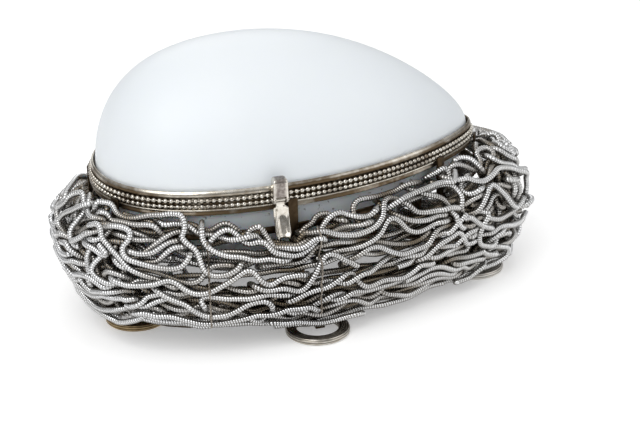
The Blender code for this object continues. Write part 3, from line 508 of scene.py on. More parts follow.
def smooth_line(knots, count, closed=False):
    """Evenly shared points of a smooth curve through knots."""
    knots = np.asarray(knots, float)
    if closed:
        ring = np.vstack([knots[-1], knots, knots[0], knots[1]])
        share = np.arange(count) * len(knots) / count
    else:
        ring = np.vstack([2 * knots[0] - knots[1], knots, 2 * knots[-1] - knots[-2]])
        share = np.linspace(0, len(knots) - 1, count)
    start = np.minimum(share.astype(int), len(ring) - 4)
    f = (share - start)[:, None]
    a, b, c, d = (ring[start + k] for k in range(4))
    square, cube = 2 * a - 5 * b + 4 * c - d, 3 * b - a - 3 * c + d
    return (2 * b + (c - a) * f + square * f ** 2 + cube * f ** 3) / 2


def rounded(section, radius, steps=3):
    """Closed section with each corner rounded off."""
    section = np.asarray(section, float)
    made = []
    for k, corner in enumerate(section):
        before, after = section[k - 1] - corner, section[(k + 1) % len(section)] - corner
        reach = min(radius, np.linalg.norm(before) / 2.2, np.linalg.norm(after) / 2.2)
        start = corner + before / np.linalg.norm(before) * reach
        end = corner + after / np.linalg.norm(after) * reach
        for f in np.linspace(0, 1, steps):
            made.append((1 - f) ** 2 * start + 2 * f * (1 - f) * corner + f ** 2 * end)
    return np.array(made)


def settle(obj):
    """Turn what a modifier makes into the object's own mesh."""
    mesh = bpy.data.meshes.new_from_object(obj.evaluated_get(bpy.context.evaluated_depsgraph_get()))
    obj.modifiers.clear()
    obj.data = mesh
    return obj


print("helpers for meshes ready")

# %% [markdown]
# ## The two halves of the egg
#
# Each half was blown thick and then ground. Its wall is even, and its edge stands square on a ledge of the
# mount. The surface of the egg is a half ellipsoid whose breadth shrinks towards the point. A grid of rows
# round the egg gives the outer skin, and the same rows moved inwards along the surface give the inner one.

# %% The two halves of the egg
GLASS_WALL = 3.5 * MM
GLASS_EDGE = 1.25 * MM
GLASS_SKIRT = 1.2 * MM


def shell_point(lengthwise, around, height, side, inside):
    """Point of the egg: lengthwise 0 at the point to pi at the blunt end, around 0 to pi over the top."""
    u = math.cos(lengthwise)
    rise = (height - GLASS_EDGE - GLASS_SKIRT) / HALF_WIDTH
    r = math.sin(lengthwise)
    breadth = EGG_HALF_BREADTH * bulge(u)
    slope = EGG_HALF_BREADTH * (-EGG_POINT - 3 * EGG_TAPER * u * u)
    y, z = breadth * r * math.cos(around), rise * breadth * r * math.sin(around)
    steep = Vector((u / EGG_HALF_LENGTH - r * r * slope / breadth / EGG_HALF_LENGTH,
                    r * math.cos(around) / breadth, r * math.sin(around) / (breadth * rise)))
    steep.normalize()
    place = Vector((EGG_X + EGG_HALF_LENGTH * u, y, z)) - steep * inside
    return place.x, place.y, SEAM + side * (GLASS_EDGE + GLASS_SKIRT + place.z)


def close_end(bm, ring, u, edge, skirt, width):
    """Close one end of a glass half, from its last ring of points to the egg's tip."""
    tips = []
    for inside, span in ((0, ring[1:1 + width]), (GLASS_WALL, ring[3 + width:3 + 2 * width])):
        tip = bm.verts.new((EGG_X + u * (EGG_HALF_LENGTH - inside), 0, skirt))
        for a, b in zip(span, span[1:]):
            bm.faces.new((a, b, tip))
        tips.append(tip)
    outer_tip, inner_tip = tips
    outer_low, inner_low = (bm.verts.new((tip.co.x, 0, edge)) for tip in tips)
    start_out, end_out, end_in, start_in = ring[0], ring[1 + width], ring[2 + width], ring[3 + 2 * width]
    for face in (
        (ring[1], start_out, outer_low, outer_tip), (end_out, ring[width], outer_tip, outer_low),
        (end_in, ring[3 + width], inner_tip, inner_low),
        (ring[2 + 2 * width], start_in, inner_low, inner_tip),
        (start_out, start_in, inner_low, outer_low), (end_in, end_out, outer_low, inner_low),
    ):
        bm.faces.new(face)


def glass_half(name, height, side, body, node, finish, rows=96, around=64):
    """Half of the egg with its inner skin and its square edge."""
    edge, skirt = SEAM + side * GLASS_EDGE, SEAM + side * (GLASS_EDGE + GLASS_SKIRT)
    lengthwise = [math.pi * (i + 0.5) / rows for i in range(rows)]
    over = [math.pi * j / around for j in range(around + 1)]
    outer, inner = (np.array([[shell_point(a, b, height, side, inside) for b in over] for a in lengthwise])
                    for inside in (0, GLASS_WALL))
    outer[:, [0, -1], 2] = inner[:, [0, -1], 2] = skirt
    foot_outer, foot_inner = outer[:, [0, -1]].copy(), inner[:, [0, -1]].copy()
    foot_outer[..., 2] = foot_inner[..., 2] = edge
    loop = np.concatenate([foot_outer[:, :1], outer, foot_outer[:, 1:], foot_inner[:, 1:], inner[:, ::-1],
                           foot_inner[:, :1]], axis=1)
    points, faces = sweep(loop)
    bm = bmesh.new()
    verts = [bm.verts.new(p) for p in points]
    for face in faces:
        bm.faces.new([verts[k] for k in face])
    size = loop.shape[1]
    for row, u in ((0, 1), (rows - 1, -1)):
        close_end(bm, verts[row * size:(row + 1) * size], u, edge, skirt, around + 1)
    bmesh.ops.recalc_face_normals(bm, faces=bm.faces)
    mesh = bpy.data.meshes.new(name)
    bm.to_mesh(mesh)
    bm.free()
    soften(mesh, 50)
    take_place(add_object(name, mesh), body, node, finish)
    print(name, len(mesh.polygons), "faces")


glass_half("egg_lid_glass", DOME_HEIGHT, 1, "lid", "lid_glass", glass.material)
glass_half("egg_base_glass", BOWL_DEPTH, -1, "base", "base_glass", bowl_glass.material)

# %% [markdown]
# ## The mounts
#
# A strip of brass was drawn to a section, bent round the egg and soldered. The lid's has a flared collar that
# stands off the glass, with a rounded lip that catches the light. The base's has a small roll under the beads
# and a skirt below it. Each section is drawn as points, rounded at its corners, and swept round the outline.
# The flat hoop of the cage below is made the same way.

# %% The mounts
LID_PROFILE = (
    (-2.6, 0.15), (0.9, 0.15), (0.9, 2.1), (1.5, 2.15), (1.95, 2.6), (2.1, 3.2), (1.95, 3.9), (1.6, 4.5),
    (1.2, 4.85), (0.85, 4.8), (0.75, 4.3), (0.7, 3.2), (0.3, 2.75), (0.3, 0.95), (-2.6, 0.95),
)
BASE_PROFILE = (
    (-2.6, -0.95), (0.3, -0.95), (0.3, -5.0), (2.3, -5.0), (2.2, -4.4), (1.75, -3.6), (1.7, -3.1),
    (2.6, -3.05), (2.9, -2.85), (2.9, -2.45), (2.6, -2.25), (0.9, -2.2), (0.9, -0.15), (-2.6, -0.15),
)
HOOP_PROFILE = ((2.0, -15.0), (3.0, -15.0), (3.0, -12.0), (2.0, -12.0))


def moulding(name, profile, corner, body, node, finish, count=300):
    """Ring round the egg with a section of (out, level) points in millimetres, in place of a CAD node."""
    section = rounded(np.array(profile) * MM, corner)
    rows = []
    for turn in turns_round(count):
        x, y = outline(turn, section[:, 0])
        rows.append(np.column_stack([x, y, SEAM + section[:, 1]]))
    obj = outwards(new_mesh_object(name, *sweep(rows, True)))
    take_place(obj, body, node, finish)
    print(name, len(obj.data.polygons), "faces")


moulding("lid_mount", LID_PROFILE, 0.3 * MM, "lid", "lid_bezel", old_silver)
moulding("base_mount", BASE_PROFILE, 0.25 * MM, "base", "base_bezel", old_silver)
moulding("cage_hoop", HOOP_PROFILE, 0.3 * MM, "base", "mid_hoop", bronze, 200)

# %% [markdown]
# ## The beads
#
# Each mount carries a row of small beads next to the seam, in fact a wire pressed into beads. Geometry Nodes
# suit this: one bead, placed at even steps on a curve that runs round the egg. The tree's inputs are the
# bead's diameter and the step. A thin wire joins the beads, as on the real strip.
#
# Every tree in this lesson starts from `new_tree`, ends in `close_tree`, and is run by `grow`, which keeps
# its result as the object's own mesh.

# %% Helpers for Geometry Nodes


def new_tree(name, *sizes):
    """Geometry tree whose named inputs are its sizes and its finish, with its group input and output."""
    tree = bpy.data.node_groups.new(name, "GeometryNodeTree")
    sockets = [("Geometry", "Geometry"), *((size, "Float") for size in sizes), ("Finish", "Material")]
    for label, kind in sockets:
        tree.interface.new_socket(label, in_out="INPUT", socket_type="NodeSocket" + kind)
    tree.interface.new_socket("Geometry", in_out="OUTPUT", socket_type="NodeSocketGeometry")
    return tree, tree.nodes.new("NodeGroupInput"), tree.nodes.new("NodeGroupOutput")


def add_node(tree, kind, inputs=None, **values):
    """Node of a tree, with its inputs linked or set."""
    made = tree.nodes.new(kind)
    for name, value in values.items():
        setattr(made, name, value)
    for name, value in (inputs or {}).items():
        if isinstance(value, bpy.types.NodeSocket):
            tree.links.new(value, made.inputs[name])
        else:
            made.inputs[name].default_value = value
    return made


def close_tree(tree, geometry, given, result, smooth=True):
    """Last nodes of a tree: real geometry, smooth or flat, in the finish that it was given."""
    last = add_node(tree, "GeometryNodeRealizeInstances", {"Geometry": geometry})
    if smooth:
        last = add_node(tree, "GeometryNodeSetShadeSmooth", {"Geometry": last.outputs["Geometry"]})
    last = add_node(tree, "GeometryNodeSetMaterial", {
        "Geometry": last.outputs["Geometry"], "Material": given.outputs["Finish"]})
    tree.links.new(last.outputs["Geometry"], result.inputs["Geometry"])


def grow(obj, tree, **inputs):
    """Run a tree on an object and keep its result as the object's mesh."""
    modifier = obj.modifiers.new(tree.name, "NODES")
    modifier.node_group = tree
    sockets = {item.name: item.identifier for item in tree.interface.items_tree if item.in_out == "INPUT"}
    for name, value in inputs.items():
        modifier[sockets[name]] = value
    return settle(obj)


def line_object(name, points, closed):
    """Object that is only a line of edges, for a tree to work on."""
    count = len(points)
    edges = [(k, (k + 1) % count) for k in range(count if closed else count - 1)]
    return new_mesh_object(name, points, [], edges)


print("helpers for Geometry Nodes ready")

# %% The beads
BEAD_DIAMETER, BEAD_STEP, BEAD_OUT = 2.05 * MM, 2.36 * MM, 2.1 * MM
BEAD_GAP, THREAD_DIAMETER = 0.15 * MM, 0.5 * MM
bead_tree, given, result = new_tree("bead_row", "Step", "Diameter", "Thread")
line = add_node(bead_tree, "GeometryNodeMeshToCurve", {"Mesh": given.outputs["Geometry"]})
spaced = add_node(bead_tree, "GeometryNodeCurveToPoints", {
    "Curve": line.outputs["Curve"], "Length": given.outputs["Step"]}, mode="LENGTH")
half, thin = (add_node(bead_tree, "ShaderNodeMath", {0: given.outputs[name], 1: 0.5},
                       operation="MULTIPLY").outputs["Value"] for name in ("Diameter", "Thread"))
bead = add_node(bead_tree, "GeometryNodeMeshUVSphere", {"Segments": 10, "Rings": 6, "Radius": half})
placed = add_node(bead_tree, "GeometryNodeInstanceOnPoints", {
    "Points": spaced.outputs["Points"], "Rotation": spaced.outputs["Rotation"],
    "Instance": bead.outputs["Mesh"]})
core = add_node(bead_tree, "GeometryNodeCurvePrimitiveCircle", {"Resolution": 8, "Radius": thin})
thread = add_node(bead_tree, "GeometryNodeCurveToMesh", {
    "Curve": line.outputs["Curve"], "Profile Curve": core.outputs["Curve"]})
both = add_node(bead_tree, "GeometryNodeJoinGeometry")
for source in (thread.outputs["Mesh"], placed.outputs["Instances"]):
    bead_tree.links.new(source, both.inputs["Geometry"])
close_tree(bead_tree, both.outputs["Geometry"], given, result)

for body, side in (("lid", 1), ("base", -1)):
    row = line_object(f"{body}_beads", outline_ring(side * (BEAD_GAP + BEAD_DIAMETER / 2), BEAD_OUT), True)
    grow(row, bead_tree, Step=BEAD_STEP, Diameter=BEAD_DIAMETER, Thread=THREAD_DIAMETER, Finish=bead_silver)
    take_place(row, body, f"{body}_beading")
    print(row.name, len(row.data.polygons), "faces")

# %% [markdown]
# ## Hinge, catch and cage
#
# These were cut and bent from sheet and rod, so the CAD solids already have the right shape. Each gets a
# merged copy with its edges broken by a small bevel, as a file leaves them, and its own finish. The hinge
# leaves are held by round-headed rivets.

# %% Filed edges
FLAT_ANGLE, EDGE_ANGLE = 2, 40


def filed(node, width, finish, body, steps=2):
    """Copy of a CAD node with its sharp edges rounded, in its place."""
    obj = outwards(add_object(node + "_filed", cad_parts[node].data.copy()))
    flat = obj.modifiers.new("Flat faces", "DECIMATE")
    flat.decimate_type = "DISSOLVE"
    flat.angle_limit = math.radians(FLAT_ANGLE)
    edge = obj.modifiers.new("Broken edges", "BEVEL")
    edge.width = width
    edge.segments = steps
    edge.limit_method = "ANGLE"
    edge.angle_limit = math.radians(EDGE_ANGLE)
    settle(obj)
    soften(obj.data, EDGE_ANGLE)
    take_place(obj, body, node, finish)


for node, body in (("hinge_leaf_lid", "lid"), ("hinge_leaf_base", "base"), ("hinge_pin", "base")):
    filed(node, 0.2 * MM, old_silver, body)
filed("catch", 0.15 * MM, clasp_silver, "base")
print("hinge and catch filed")

# %% Rivet heads
HINGE_Y, KNUCKLE_RADIUS, LEAF = 49.557 * MM, 2.2 * MM, 1 * MM


def dome_head(place, way, radius, height, rings=5, sides=16):
    """Points and faces of a low round rivet head that stands on a plane."""
    turn = Vector(way).to_track_quat("Z", "Y").to_matrix()
    rows = []
    for k in range(rings + 1):
        a = math.pi / 2 * k / rings
        r, z = radius * math.cos(a) + (HAIR if k == rings else 0), height * math.sin(a)
        rows.append([tuple(Vector(place) + turn @ Vector((r * math.cos(s), r * math.sin(s), z)))
                     for s in (FULL_TURN * j / sides for j in range(sides))])
    return loft(rows)


def heads(name, places, way, radius, height, body, finish):
    """Several rivet heads in one object."""
    shape = together(dome_head(place, way, radius, height) for place in places)
    take_place(outwards(new_mesh_object(name, *shape, degrees=50)), body, None, finish)


for side, body in ((1, "lid"), (-1, "base")):
    places = [(CLASP_X + x * MM, HINGE_Y - KNUCKLE_RADIUS + LEAF, SEAM + side * 4.9 * MM) for x in (-7, 0, 7)]
    heads(f"hinge_rivets_{body}", places, (0, 1, 0), 0.9 * MM, 0.45 * MM, body, old_silver)
for node in list(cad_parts):
    if node.startswith(("strap_", "foot_arm")):
        filed(node, 0.25 * MM, bronze, "base")
    elif node == "base_hoop":
        filed(node, 0.05 * MM, bronze, "base", 1)
print("rivets, straps, foot arms and lower hoop done")

# %% [markdown]
# ## Clasp
#
# The lug is a cast cushion, softer and narrower at its top, with a slot below for the hasp. The hasp is a
# tongue of thick plate, hammered hollow and curled outwards at its end, with a heavy round lip for a
# fingertip. Both are lofts: closed rings of points, one above the other. A round-headed pin joins them.

# %% Clasp: the lug
CLASP_Y = -49.557 * MM
CLASP_Z = SEAM + 0.4 * MM
LUG_HALF, LUG_NEAR, LUG_FAR = 3.3 * MM, 47.36 * MM, 51.76 * MM
LUG_BOTTOM, LUG_TOP = -1.1 * MM, 9.2 * MM
LUG_SIDES, LUG_RINGS = 48, 28
LUG_SQUARE, LUG_TAPER = 0.3, 0.3 * MM


def cushion_row(level):
    """Ring of points round the lug at a share of its height."""
    soft = math.sqrt(max(1 - max(1 - level / 0.1, 0, 1 - (1 - level) / 0.16) ** 2, 0))
    half = (LUG_HALF - LUG_TAPER * level) * (0.72 + 0.28 * soft)
    depth = (LUG_FAR - LUG_NEAR) / 2 * (0.62 + 0.38 * soft)
    middle = -LUG_NEAR - depth
    z = SEAM + LUG_BOTTOM + (LUG_TOP - LUG_BOTTOM) * level
    row = []
    for k in range(LUG_SIDES):
        c, s = math.cos(FULL_TURN * k / LUG_SIDES), math.sin(FULL_TURN * k / LUG_SIDES)
        row.append((CLASP_X + half * math.copysign(abs(c) ** LUG_SQUARE, c),
                    middle + depth * math.copysign(abs(s) ** LUG_SQUARE, s), z))
    return row


rows = [cushion_row(0.5 - 0.5 * math.cos(math.pi * k / LUG_RINGS)) for k in range(LUG_RINGS + 1)]
lug = outwards(new_mesh_object("clasp_cushion", *loft(rows)))
slot = loft([[(CLASP_X + x * MM, y * MM, SEAM + z * MM)
              for x, y in ((-2.1, -54), (2.1, -54), (2.1, -46), (-2.1, -46))] for z in (-4, 1.95)])
cutter = outwards(new_mesh_object("clasp_slot", *slot))
cut = lug.modifiers.new("Slot", "BOOLEAN")
cut.object = cutter
cut.solver = "EXACT"
settle(lug)
bpy.data.objects.remove(cutter)
soften(lug.data, 38)
take_place(lug, "lid", "clasp_lug", lug_silver)
print("lug", len(lug.data.polygons), "faces")

# %% Clasp: the hasp
HASP_LENGTH, HASP_HALF, HASP_NECK_HALF = 15.2 * MM, 3.1 * MM, 1.8 * MM
HASP_NECK, HASP_PLATE, HASP_EYE = 2.6 * MM, 0.9 * MM, 1.25 * MM
HASP_FLARE, HASP_DISH = 3.6 * MM, 1.2 * MM
HASP_ACROSS, HASP_DOWN, EYE_SIDES = 24, 60, 24
TIP_START = 0.86


def tongue_middle(side, share):
    """Point of the hasp's middle surface."""
    drop = share * HASP_LENGTH
    widen = min(max((drop - HASP_NECK) / HASP_PLATE, 0), 1)
    widen = widen * widen * (3 - 2 * widen)
    tip = max((share - TIP_START) / (1 - TIP_START), 0)
    half = (HASP_NECK_HALF + (HASP_HALF - HASP_NECK_HALF) * widen) * math.sqrt(1 - 0.5 * tip ** 2)
    flare = HASP_FLARE * max((share - 0.3) / 0.7, 0) ** 1.6
    return np.array([CLASP_X + side * half, CLASP_Y - flare - HASP_DISH * widen * side ** 2, CLASP_Z - drop])


def tongue_row(share):
    """Ring of points round the hasp at a share of its length, front side first."""
    front, back = [], []
    half = HASP_PLATE / 2
    for k in range(HASP_ACROSS + 1):
        side = math.sin(math.pi * (k / HASP_ACROSS - 0.5))
        here = tongue_middle(side, share)
        along = tongue_middle(side, min(share + 0.01, 1)) - tongue_middle(side, share - 0.01)
        across = tongue_middle(min(side + 0.02, 1), share) - tongue_middle(max(side - 0.02, -1), share)
        normal = np.cross(across, along)
        normal /= -np.linalg.norm(normal) * np.sign(normal[1])
        edge = math.sqrt(max(1 - max((abs(side) - 0.86) / 0.14, 0) ** 2, 0))
        end = math.sqrt(max(1 - max((share - 0.965) / 0.035, 0) ** 2, 0.0004))
        lip = 0.45 * math.exp(-((share - 0.955) / 0.03) ** 2)
        rim = 0.22 * math.exp(-((abs(side) - 0.84) / 0.1) ** 2) + lip
        front.append(here + normal * half * (1 + rim) * edge * end)
        back.append(here - normal * half * edge * end)
    return front + back[::-1][1:-1]


shares = sorted([0.02 + 0.98 * (k / HASP_DOWN) for k in range(HASP_DOWN + 1)] + [0.97, 0.98, 0.99])
angles = [FULL_TURN * k / EYE_SIDES for k in range(EYE_SIDES)]
eye = [[(CLASP_X + x, CLASP_Y + HASP_EYE * math.cos(a), CLASP_Z + HASP_EYE * math.sin(a)) for a in angles]
       for x in (-HASP_NECK_HALF, HASP_NECK_HALF)]
shape = together((loft([tongue_row(share) for share in shares]), loft(eye)))
hasp = outwards(new_mesh_object("clasp_tongue", *shape, degrees=45))
take_place(hasp, "hasp", "clasp_hasp", clasp_silver)
print("hasp", len(hasp.data.polygons), "faces")

# %% Clasp: the pin and its heads
rods, given, result = new_tree("round_rod", "Radius")
line = add_node(rods, "GeometryNodeMeshToCurve", {"Mesh": given.outputs["Geometry"]})
ring = add_node(rods, "GeometryNodeCurvePrimitiveCircle", {
    "Resolution": 16, "Radius": given.outputs["Radius"]})
bar = add_node(rods, "GeometryNodeCurveToMesh", {
    "Curve": line.outputs["Curve"], "Profile Curve": ring.outputs["Curve"], "Fill Caps": True})
close_tree(rods, bar.outputs["Mesh"], given, result, smooth=False)

rod = line_object("clasp_pin_rod", [(CLASP_X + x, CLASP_Y, CLASP_Z) for x in (-LUG_HALF, LUG_HALF)], False)
grow(rod, rods, Radius=0.6 * MM, Finish=clasp_silver)
take_place(rod, "lid", "clasp_pin")
for name, side in (("left", -1), ("right", 1)):
    heads(f"clasp_pin_head_{name}", [(CLASP_X + side * (LUG_HALF - 0.05 * MM), CLASP_Y, CLASP_Z)],
          (side, 0, 0), 0.85 * MM, 0.5 * MM, "lid", clasp_silver)
studs = [(CLASP_X + x * MM, -LUG_FAR + 0.05 * MM, CLASP_Z + 0.2 * MM) for x in (-2.6, 2.6)]
heads("clasp_knuckle_studs", studs, (0, -1, 0), 0.6 * MM, 0.4 * MM, "lid", clasp_silver)
print("pin and", len(studs), "studs done")

# %% [markdown]
# ## Ring feet
#
# Each foot is a ring coiled from a few turns of wire and soldered flat. So its section is a rounded bar whose
# skin is a row of reeds. The section is walked round once and each reed adds its bump. The reed's valleys are
# kept as the attribute `groove`, where the finish is dark.

# %% Ring feet
FOOT_INNER, FOOT_OUTER, FOOT_HEIGHT = 8.5 * MM, 13.25 * MM, 3.0 * MM
REED_DEPTH, REED_WIDTH = 0.22 * MM, 0.95 * MM
REED_POINTS, FOOT_STEPS = 6, 96


def run_along(line):
    """Length from the start of a line to each of its points."""
    return np.concatenate([[0], np.cumsum(np.linalg.norm(np.diff(line, axis=0), axis=1))])


def read_off(line, wanted):
    """Points of a line at wanted lengths from its start."""
    along = run_along(line)
    return np.column_stack([np.interp(wanted, along, column) for column in line.T])


def reeded_section():
    """Closed section of the foot and how deep each of its points lies between two reeds."""
    near, far = FOOT_INNER + REED_DEPTH, FOOT_OUTER - REED_DEPTH
    low, high = REED_DEPTH, FOOT_HEIGHT - REED_DEPTH
    corners = rounded([(near, low), (far, low), (far, high), (near, high)], 1.0 * MM, 6)
    ring = np.vstack([corners, corners[:1]])
    length = run_along(ring)[-1]
    count = round(length / REED_WIDTH) * REED_POINTS
    line = read_off(ring, np.arange(count) / count * length)
    way = np.roll(line, -1, axis=0) - np.roll(line, 1, axis=0)
    outward = np.column_stack([way[:, 1], -way[:, 0]]) / np.linalg.norm(way, axis=1)[:, None]
    bump = np.abs(np.sin(math.pi * np.arange(count) / REED_POINTS)) ** 0.7
    return line + outward * REED_DEPTH * bump[:, None], 1 - bump


section, valley = reeded_section()
for name, x, y, tint in (
    ("left", -72.49, -8.51, foot_gold), ("front", -6.34, -46.61, foot_dark),
    ("right", 76.54, -12.51, foot_pale), ("back", 1.04, 47.17, foot_dark),
):
    rows = []
    for k in range(FOOT_STEPS):
        a = FULL_TURN * k / FOOT_STEPS
        out, level = section.T
        rows.append(np.column_stack([x * MM + out * math.cos(a), y * MM + out * math.sin(a), level]))
    foot = new_mesh_object(f"reeded_foot_{name}", *sweep(rows, True))
    depth = foot.data.attributes.new("groove", "FLOAT", "POINT")
    depth.data.foreach_set("value", np.tile(valley, FOOT_STEPS))
    face = foot.data.polygons[0]
    if face.normal.dot(face.center - Vector((x * MM, y * MM, FOOT_HEIGHT / 2))) < 0:
        foot.data.flip_normals()
    take_place(foot, "base", f"foot_{name}", tint)
print("feet of", len(section) * FOOT_STEPS, "faces each")

# %% [markdown]
# ## The nest, 1: the wires of the CAD model
#
# The nest is made of gimp: a hard wire wound tightly round a core, pulled through the hands and twisted round
# the bowl as a bird would do it. The CAD model has 24 of these wires as plain tubes that don't touch. Their
# middle lines are the means of the rings that each tube is made of. Here they are read from the tubes,
# smoothed, and then given the small bends that a hand leaves in such a wire.

# %% The nest, 1: reading the tubes
POINT_STEP = 2.0 * MM
RING_EDGE = 2.2 * MM


def triangles_of(node):
    """Corner points of a CAD node, and which three of them each of its triangles joins."""
    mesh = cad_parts[node].data
    coords = np.empty(len(mesh.vertices) * 3)
    mesh.vertices.foreach_get("co", coords)
    corners = np.empty(len(mesh.loops), dtype=int)
    mesh.loops.foreach_get("vertex_index", corners)
    return coords.reshape(-1, 3), corners.reshape(-1, 3)


def tube_line(node):
    """Middle points of a packed tube's rings, in order, and whether the tube is closed."""
    coords, corners = triangles_of(node)
    points, welded = np.unique(coords.round(6), axis=0, return_inverse=True)
    corners = welded.reshape(-1)[corners]
    edges = np.vstack([corners[:, [0, 1]], corners[:, [1, 2]], corners[:, [2, 0]]])
    edges = np.unique(np.sort(edges, axis=1), axis=0)
    short = np.linalg.norm(points[edges[:, 0]] - points[edges[:, 1]], axis=1) < RING_EDGE
    label = np.arange(len(points))
    for _ in range(12):
        least = np.minimum(label[edges[short, 0]], label[edges[short, 1]])
        np.minimum.at(label, edges[short, 0], least)
        np.minimum.at(label, edges[short, 1], least)
    rings, label = np.unique(label, return_inverse=True)
    middles = np.array([points[label == k].mean(0) for k in range(len(rings))])
    links = [set() for _ in rings]
    for a, b in label[edges[~short]]:
        if a != b:
            links[a].add(b)
            links[b].add(a)
    ends = [k for k, near in enumerate(links) if len(near) == 1]
    walk = [ends[0] if ends else 0]
    while True:
        ahead = [k for k in links[walk[-1]] if k not in walk]
        if not ahead:
            break
        walk.append(ahead[0])
    return middles[walk], not ends


def even_line(knots, closed, step=POINT_STEP):
    """Points at even steps along a smooth curve through knots."""
    fine = smooth_line(knots, len(knots) * 12, closed)
    ring = np.vstack([fine, fine[:1]]) if closed else fine
    length = run_along(ring)[-1]
    return read_off(ring, np.linspace(0, length, max(8, round(length / step)), endpoint=not closed))


tubes = {name: tube_line(name) for name in sorted(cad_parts) if name.startswith("nest_wire_")}
print(len(tubes), "tubes read")

# %% The nest, 1: its room
WIRE_RADIUS = 1.35 * MM
WIRE_FLOOR = 6.15 * MM
NEST_HALF = np.array([104.0, 62.5, 55.5]) * MM
NEST_TILT = 0.04
SIDE_ROOM, BLUNT_ROOM, POINT_ROOM = 18.5 * MM, 21 * MM, 27 * MM
END_REACH = EGG_HALF_LENGTH + 14 * MM
LOW_START, LOW_SPAN, LOW_SIDE, LOW_POINT, LOW_BLUNT = 34 * MM, 24 * MM, 3 * MM, 1 * MM, 6.5 * MM
HIGH_START, HIGH_SPAN, HIGH_POINT, HIGH_BLUNT = 44 * MM, 12 * MM, 1.5 * MM, 7 * MM


def unit(vectors):
    """Rows of vectors, each made one long."""
    return vectors / np.linalg.norm(vectors, axis=1)[:, None]


def room(c, wires=1):
    """How far out of the egg's outline the nest may reach, where c is the cosine of the turn."""
    end_room = np.where(c > 0, POINT_ROOM, BLUNT_ROOM)
    return SIDE_ROOM - wires * WIRE_RADIUS + (end_room - SIDE_ROOM) * np.abs(c) ** 3


def endness(points):
    """0 along the sides of the nest to 1 at its two ends."""
    x, y = (points[:, 0] - EGG_X) / NEST_HALF[0], points[:, 1] / NEST_HALF[1]
    return np.clip((x * x / np.maximum(x * x + y * y, TINY) - 0.35) / 0.5, 0, 1)


def highness(points):
    """0 at the bottom of the nest to 1 at its top edge."""
    return np.clip((points[:, 2] - WIRE_FLOOR) / (SEAM - WIRE_FLOOR), 0, 1)


def egg_shares(p):
    """Points in shares of the egg's half length and of its half breadth there, and that half breadth."""
    x = (p[:, 0] - EGG_X) / EGG_HALF_LENGTH
    breadth = EGG_HALF_BREADTH * np.maximum(bulge(np.clip(x, -1, 1)), 0.1)
    return x, p[:, 1] / breadth, breadth


def off_rim(p):
    """Distance of points outwards from the egg's widest line."""
    x, y, breadth = egg_shares(p)
    r = np.maximum(np.hypot(x, y), HAIR)
    return (r - 1) * r / np.hypot(x / EGG_HALF_LENGTH, y / breadth)


def round_off(p, whole=False):
    """Draw points in where the nest rounds off above and below: all of them if whole, or only the proud."""
    c = np.clip((p[:, 0] - EGG_X) / END_REACH, -1, 1)
    reach = room(c)
    low = np.clip((LOW_START - p[:, 2]) / LOW_SPAN, 0, 1.2) ** 1.2
    high = np.clip((p[:, 2] - HIGH_START) / HIGH_SPAN, 0, 1)
    inset = low * (LOW_SIDE + np.where(c > 0, LOW_POINT, LOW_BLUNT) * np.abs(c) ** 3)
    inset += high * np.where(c > 0, HIGH_POINT, HIGH_BLUNT) * np.abs(c) ** 3
    out = off_rim(p)
    over = inset * np.clip(out / reach, 0, 1) if whole else np.maximum(out - reach + inset, 0)
    far = np.maximum(np.hypot(p[:, 0] - EGG_X, p[:, 1]), HAIR)
    p[:, 0] -= (p[:, 0] - EGG_X) * over / far
    p[:, 1] -= p[:, 1] * over / far
    return p


print("room past the egg in mm:", SIDE_ROOM / MM, "at the sides,", BLUNT_ROOM / MM, "and", POINT_ROOM / MM)

# %% The nest, 1: bent by hand
# The shortest and the longest wave along a wire. The bends and pulls below them are in millimetres.
ACROSS_WAVES, ALONG_WAVES, DEPTH_WAVES = (32 * MM, 90 * MM), (30 * MM, 70 * MM), (30 * MM, 75 * MM)
BEND, BEND_UP, BEND_END = 1.9, 1.8, 3.6
DEPTH_BEND, DEPTH_BEND_END = 0.5, 0.9
FRONT_START, FRONT_SPAN, FRONT_PULL, FRONT_PULL_UP = 10 * MM, 35 * MM, 1.5, 3
EASE_POINTS = 6
rng = np.random.default_rng(5)
strands = []


def ripple(count, closed, shortest, longest, waves=7):
    """Smooth random numbers along a line of points, with waves between two lengths."""
    length = count * POINT_STEP
    made = np.zeros(count)
    for wave in np.geomspace(shortest, longest, waves):
        turns = length / wave
        if closed:
            turns = round(turns)
        phase = np.arange(count) / count * turns + rng.uniform()
        made += np.sin(FULL_TURN * phase) * rng.normal() * (wave / longest) ** 0.5
    return made / max(made.std(), TINY)


def frame_along(points, closed):
    """Unit vectors along a line, outwards from the nest, and square to both."""
    if closed:
        along = np.roll(points, -1, axis=0) - np.roll(points, 1, axis=0)
    else:
        along = np.gradient(points, axis=0)
    along = unit(along)
    outward = (points - (EGG_X, 0, SEAM)) / NEST_HALF ** 2
    outward[:, 2] = np.minimum(outward[:, 2], 0)
    outward = unit(outward - along * (outward * along).sum(1)[:, None])
    return along, outward, np.cross(outward, along)


